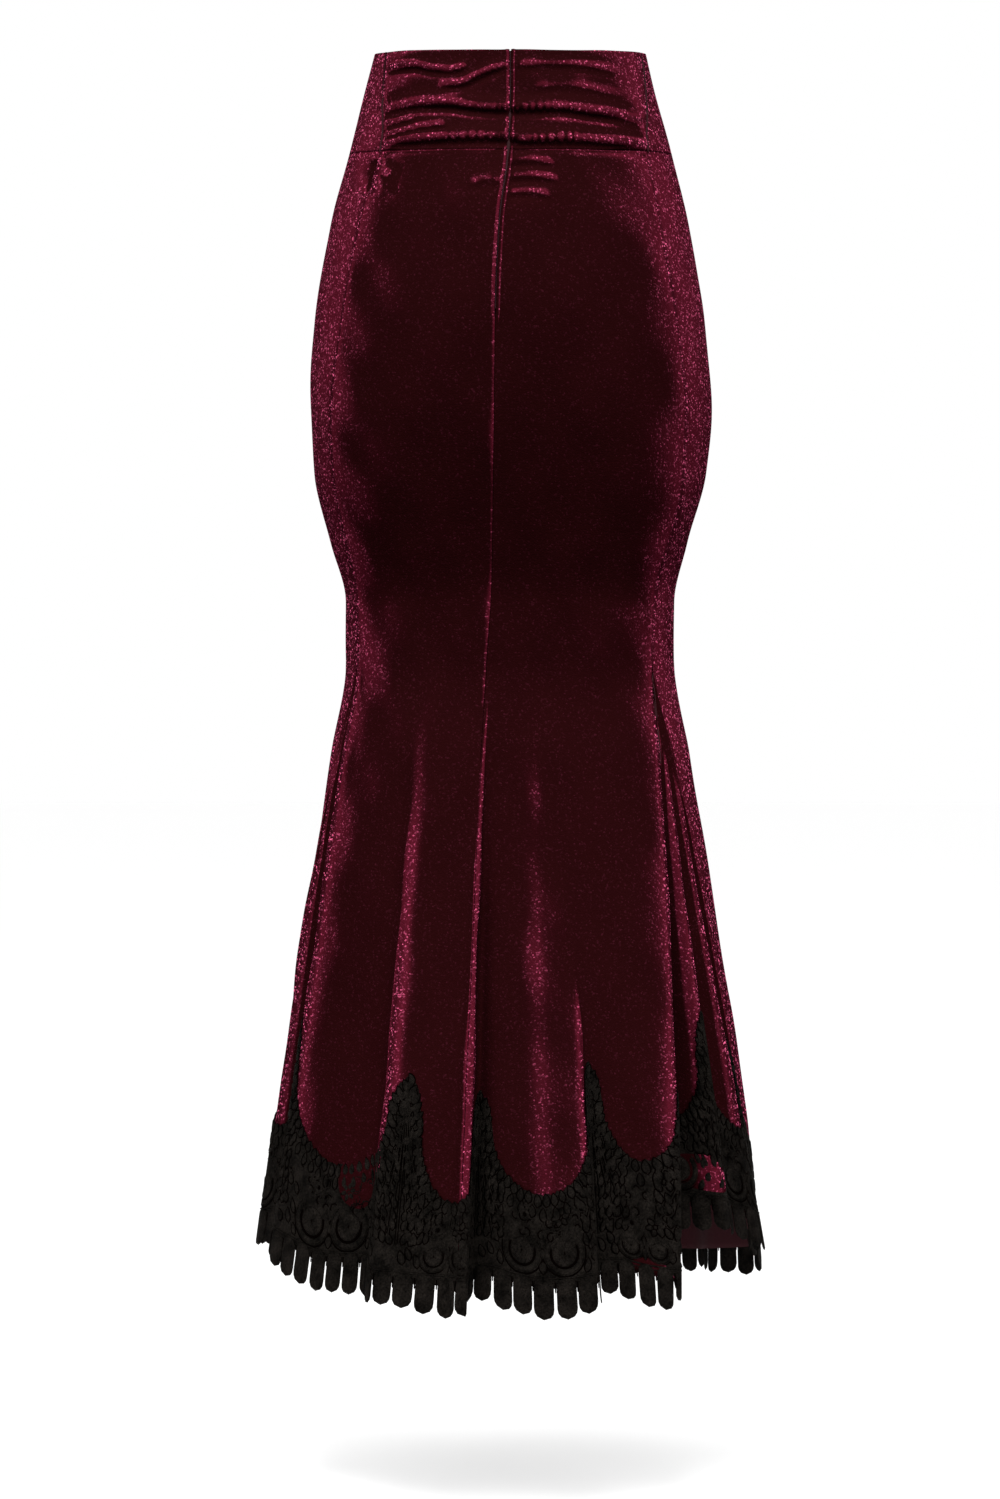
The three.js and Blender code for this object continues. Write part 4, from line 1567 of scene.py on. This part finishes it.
class PeakMotif(Motif):
    """What the lace shows below a peak."""

    RIBS = (
        # x at the foot, x halfway up, how far below the tip it ends
        (0, 0, 6), (8, 3, 12), (-8, -3, 12), (17, 7, 22), (-17, -7, 22), (26, 11, 38), (-26, -11, 38),
    )

    def patches(self) -> Patches:
        """Gives the long ribs that spread down from the tip, and the small leaves between them.

        Returns:
            The patches.
        """
        peak = self.top(0.0)
        for foot, knee, start in self.RIBS:
            low = 30 + abs(foot) * 0.7
            middle = (knee, lerp(low, peak - start, 0.5))
            path = ((foot, low), middle, (knee * 0.25, peak - start))
            # a dark strip of painted shade round the rib
            yield Patch(path, 1.5, 0.15, Ends.ROUND, 0.0, True)
            yield Patch(path, 0.7, 1.1)
        for y in np.arange(32, peak - 14, 9.5):
            for side in (-1, 1):
                room = next((x for x in np.arange(28, 2, -1.0) if self.top(side * float(x)) > y + 12), 0.0)
                count = int(room / 6.2)
                for k in range(count):
                    x = side * (k + 0.6) * room / count
                    root = (self.about(x, 0.7), self.about(y, 1.5))
                    tip = (root[0] + side * self.about(3.2, 1.6), root[1] + self.about(9.5, 1.2))
                    yield from self.leaf(root, tip, self.about(2.5, 0.3), self.about(0, 0.8))


class Relief:
    """Collects raised patches into one mesh laid on the cloth."""

    def __init__(self) -> None:
        """Starts with no patches."""
        self.flat: list[Array] = []
        self.faces: list[Array] = []
        self.stitch: list[Array] = []
        # which faces are dark channels of painted shade
        self.dark: list[Array] = []
        self.count = 0

    def add(self, patch: Patch, motif: Motif) -> None:
        """Adds a patch, as lengths round the hem and heights over it.

        Args:
            patch: The patch.
            motif: The motif that it is drawn in.
        """
        points, faces, stitch = patch.relief()
        self.flat.append(points.reshape(-1, 3) + (motif.middle, 0.0, 0.0))
        self.faces.append(faces + self.count)
        self.stitch.append(stitch.reshape(-1, 2))
        self.dark.append(np.full(len(faces), int(patch.dark)))
        self.count += points.shape[0] * points.shape[1]


# The width and length of each piece of lace, in metres, and its area.
LACE_FLATS = {
    "back_panel_right": ((0.26, 0.19), 0.0246),
    "godet_right": ((0.265, 0.19), 0.02),
    "front_panel": ((0.595, 0.19), 0.0586),
    "godet_left": ((0.21, 0.19), 0.0182),
    "back_panel_left": ((0.23, 0.19), 0.0226),
}


@dataclass
class LaceBorder:
    """The lace round the hem: its net ground and the corded relief on it, a piece to each piece of velvet."""

    figure: Figure
    surface: Surface
    ground_rows: int = 32
    offset: float = 0.9  # from the form to the ground's face
    thickness: float = 0.35
    inset: float = 0.02  # how far in from a seam the ground ends, as a place
    lumps: tuple = ((1.2, 0.72, 0.0), (0.9, 1.31, 1.0))  # the edge's: height, turns to a millimetre and start
    seed: int = 11

    def __post_init__(self) -> None:
        """Works out the lace's edges."""
        self.edges = LaceEdges(self.figure)
        self.reliefs = {cut.node: Relief() for cut in SKIRT_CUTS}

    def _cut_at(self, along: float) -> str:
        """Finds the velvet that lies a length round the hem.

        Args:
            along: The length.

        Returns:
            The velvet's node.
        """
        place = float(self.figure.place_at(np.array(along))) % self.figure.turns
        starts = [self.figure.seam_place(cut.start) for cut in SKIRT_CUTS]
        return SKIRT_CUTS[int(np.searchsorted(starts, place, side="right")) - 1].node

    def draw(self) -> None:
        """Draws every motif round the hem."""
        random = np.random.default_rng(self.seed)
        for repeat in range(len(LACE_PEAKS)):
            start, end = np.interp([repeat, repeat + 1], self.edges.repeat, self.edges.along)
            arch = ArchMotif(self.edges, random, (start + end) / 2, end - start)
            peak = PeakMotif(self.edges, random, start, end - start)
            for motif in (arch, peak):
                for patch in motif.patches():
                    node = self._cut_at(motif.middle + float(np.mean(patch.path, axis=0)[0]))
                    self.reliefs[node].add(patch, motif)

    def _relief(self, cut: Cut, palette: Palette) -> Object:
        """Lays a piece's relief on the cloth.

        Args:
            cut: The velvet under it.
            palette: The materials.

        Returns:
            The object.
        """
        relief = self.reliefs[cut.node]
        along, height, rise = np.concatenate(relief.flat).T
        place = self.figure.place_at(along)
        normal = self.figure.hem_normal(place, height)
        points = self.figure.over_hem(place, height) + normal * (self.offset + rise)[:, None]
        faces, stitch = np.concatenate(relief.faces), np.concatenate(relief.stitch)
        item = mesh_object(f"lace_relief_{cut.node}", points, faces, stitch)
        item.data.materials.append(palette.yarn)
        item.data.materials.append(palette.net)
        # the channels of painted shade take the second material
        item.data.polygons.foreach_set("material_index", np.concatenate(relief.dark))
        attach(item, "root")
        return item

    def _ground(self, cut: Cut, palette: Palette) -> Object:
        """Builds a piece's net ground, from the hem up to the arched edge.

        Args:
            cut: The velvet under it.
            palette: The materials.

        Returns:
            The object.
        """
        start = self.surface.column_at(self.figure.seam_place(cut.start))
        end = self.surface.column_at(self.figure.seam_place(cut.end) or self.figure.turns)
        places = self.surface.places[start : end + 1].copy()
        places[0] += self.inset
        places[-1] -= self.inset
        along = self.figure.along_at(places)
        lumps = sum(size * np.sin(along * turns + start) for size, turns, start in self.lumps)
        share = np.linspace(0, 1, self.ground_rows)[::-1]
        height = (self.edges.top(along) + lumps)[:, None] * share[None] + 0.5
        place = np.broadcast_to(places[:, None], height.shape)
        points = self.figure.over_hem(place, height) + self.figure.hem_normal(place, height) * self.offset
        stitch = np.stack([np.broadcast_to(along[:, None], height.shape), height], axis=-1)
        item = mesh_object(f"net_{cut.node}", points, grid_faces(*height.shape), stitch)
        item.data.materials.append(palette.yarn)
        thicken(item, self.thickness, 0)
        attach(item, "root")
        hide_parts(f"lace_{cut.node}")
        return item

    def build(self, palette: Palette) -> list[Object]:
        """Args:
            palette: The materials.

        Returns:
            The objects.
        """
        self.draw()
        made = []
        for cut in SKIRT_CUTS:
            ground, relief = self._ground(cut, palette), self._relief(cut, palette)
            flat, area = LACE_FLATS[cut.node]
            made += [ground, relief]
            log.info("lace on %s: %d points of relief", cut.node, self.reliefs[cut.node].count)
        return made


@dataclass(frozen=True)
class Zip:
    """The concealed zip: a closed tape down the centre back, sunk between the velvet's lips."""

    figure: Figure
    drop: float = 226.0
    step: float = 4.0
    section: tuple = (
        (-1.5, 1.4), (-1.1, 0.9), (-0.4, 0.6), (0.4, 0.6), (1.1, 0.9), (1.5, 1.4), (1.5, 2.2), (-1.5, 2.2),
    )

    def build(self, palette: Palette) -> Object:
        """Builds the tape, from its section of x and depth below the form.

        Args:
            palette: The materials.

        Returns:
            The object.
        """
        drops = np.arange(1.0, self.drop, self.step)
        middle = self.figure.body(np.zeros_like(drops), drops)
        closed = np.stack([middle + (x, -depth, 0.0) for x, depth in (*self.section, self.section[0])])
        faces = grid_faces(len(closed), len(drops))[:, ::-1]
        tape = mesh_object("zip_tape", closed, faces)
        tape.data.materials.append(palette.zip)
        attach(tape, "root")
        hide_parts("centre_back_zip")
        log.info("zip: %d rows", len(drops))
        return tape


@dataclass(frozen=True)
class SoftLight:
    """A square of soft light, aimed at the skirt."""

    name: str
    place: tuple[float, float, float]
    size: float
    power: float
    target: tuple[float, float, float] = (0.0, 0.0, -0.6)


@dataclass(frozen=True)
class Studio:
    """A white floor in an evenly lit room, soft lights, and the camera, in metres and watts."""

    floor: float = -1.224
    half: float = 12.0  # half the floor's side
    white: float = 0.99
    room: float = 1.0
    place: tuple[float, float, float] = (0.0086, 3.58, -0.469)
    target: tuple[float, float, float] = (0.0086, 0.0, -0.597)
    lens: tuple[float, float] = (100.0, 36.0)  # its length and the sensor's width
    lights: tuple[SoftLight, ...] = (
        SoftLight("side light left", (1.9, 1.7, -0.2), 1.3, 40),
        SoftLight("side light right", (-1.9, 1.7, -0.2), 1.3, 42),
        SoftLight("top light", (0.3, 1.6, 1.6), 1.0, 32),
    )

    def build(self) -> None:
        """Sets up the whole studio."""
        self._floor()
        for light in self.lights:
            self._light(light)
        self._world()
        self._camera()
        bpy.context.scene.view_settings.view_transform = "Standard"

    def _floor(self) -> None:
        """Makes the floor."""
        half = self.half
        points = np.array([[(x, y, self.floor) for y in (half, -half)] for x in (-half, half)]) / MM
        floor = mesh_object("floor", points, grid_faces(2, 2)[:, ::-1])
        finish = PlainFinish("pale floor", (self.white,) * 3, 0.9, grain=40.0, relief=0.0)
        floor.data.materials.append(finish.build())

    def _light(self, light: SoftLight) -> None:
        """Adds one soft light.

        Args:
            light: The light.
        """
        data = bpy.data.lights.new(light.name, "AREA")
        data.size, data.energy = light.size, light.power
        item = bpy.data.objects.new(light.name, data)
        aim(item, light.place, light.target)
        bpy.context.scene.collection.objects.link(item)

    def _world(self) -> None:
        """Fills the room with even white light."""
        world = bpy.data.worlds.new("studio")
        world.use_nodes = True
        sky = world.node_tree.nodes["Background"]
        sky.inputs["Color"].default_value = (1.0, 1.0, 1.0, 1.0)
        sky.inputs["Strength"].default_value = self.room
        bpy.context.scene.world = world

    def _camera(self) -> None:
        """Sets the camera a little above the skirt's middle, square to its back."""
        data = bpy.data.cameras.new("camera")
        data.lens, data.sensor_width = self.lens
        item = bpy.data.objects.new("camera", data)
        aim(item, self.place, self.target)
        bpy.context.scene.collection.objects.link(item)
        bpy.context.scene.camera = item


def aim(item: Object, place: Sequence[float], target: Sequence[float]) -> None:
    """Puts a light or camera at a place and turns it to look at a target."""
    item.location = place
    item.rotation_euler = (Vector(target) - Vector(place)).to_track_quat("-Z", "Y").to_euler()


def main() -> None:
    """Builds the skirt on its frame, piece by piece, and then the studio."""
    logging.basicConfig(level=logging.INFO, format="%(name)s: %(message)s")
    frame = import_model()
    log.info("frame: %d nodes", len(frame["nodes"]))
    palette = Palette()
    figure = Figure()
    surface = Surface(figure)
    yoke = surface.yoke()
    skirt, tip_row = surface.skirt(GODET_TIP)
    for cut in YOKE_CUTS:
        VelvetPiece(cut, surface, yoke).build(palette)
    for cut in SKIRT_CUTS:
        VelvetPiece(cut, surface, skirt, tip_row if cut.node.startswith("godet") else 0).build(palette)
    LaceBorder(figure, surface).build(palette)
    Zip(figure).build(palette)
    Studio().build()


if __name__ == "__main__":
    main()
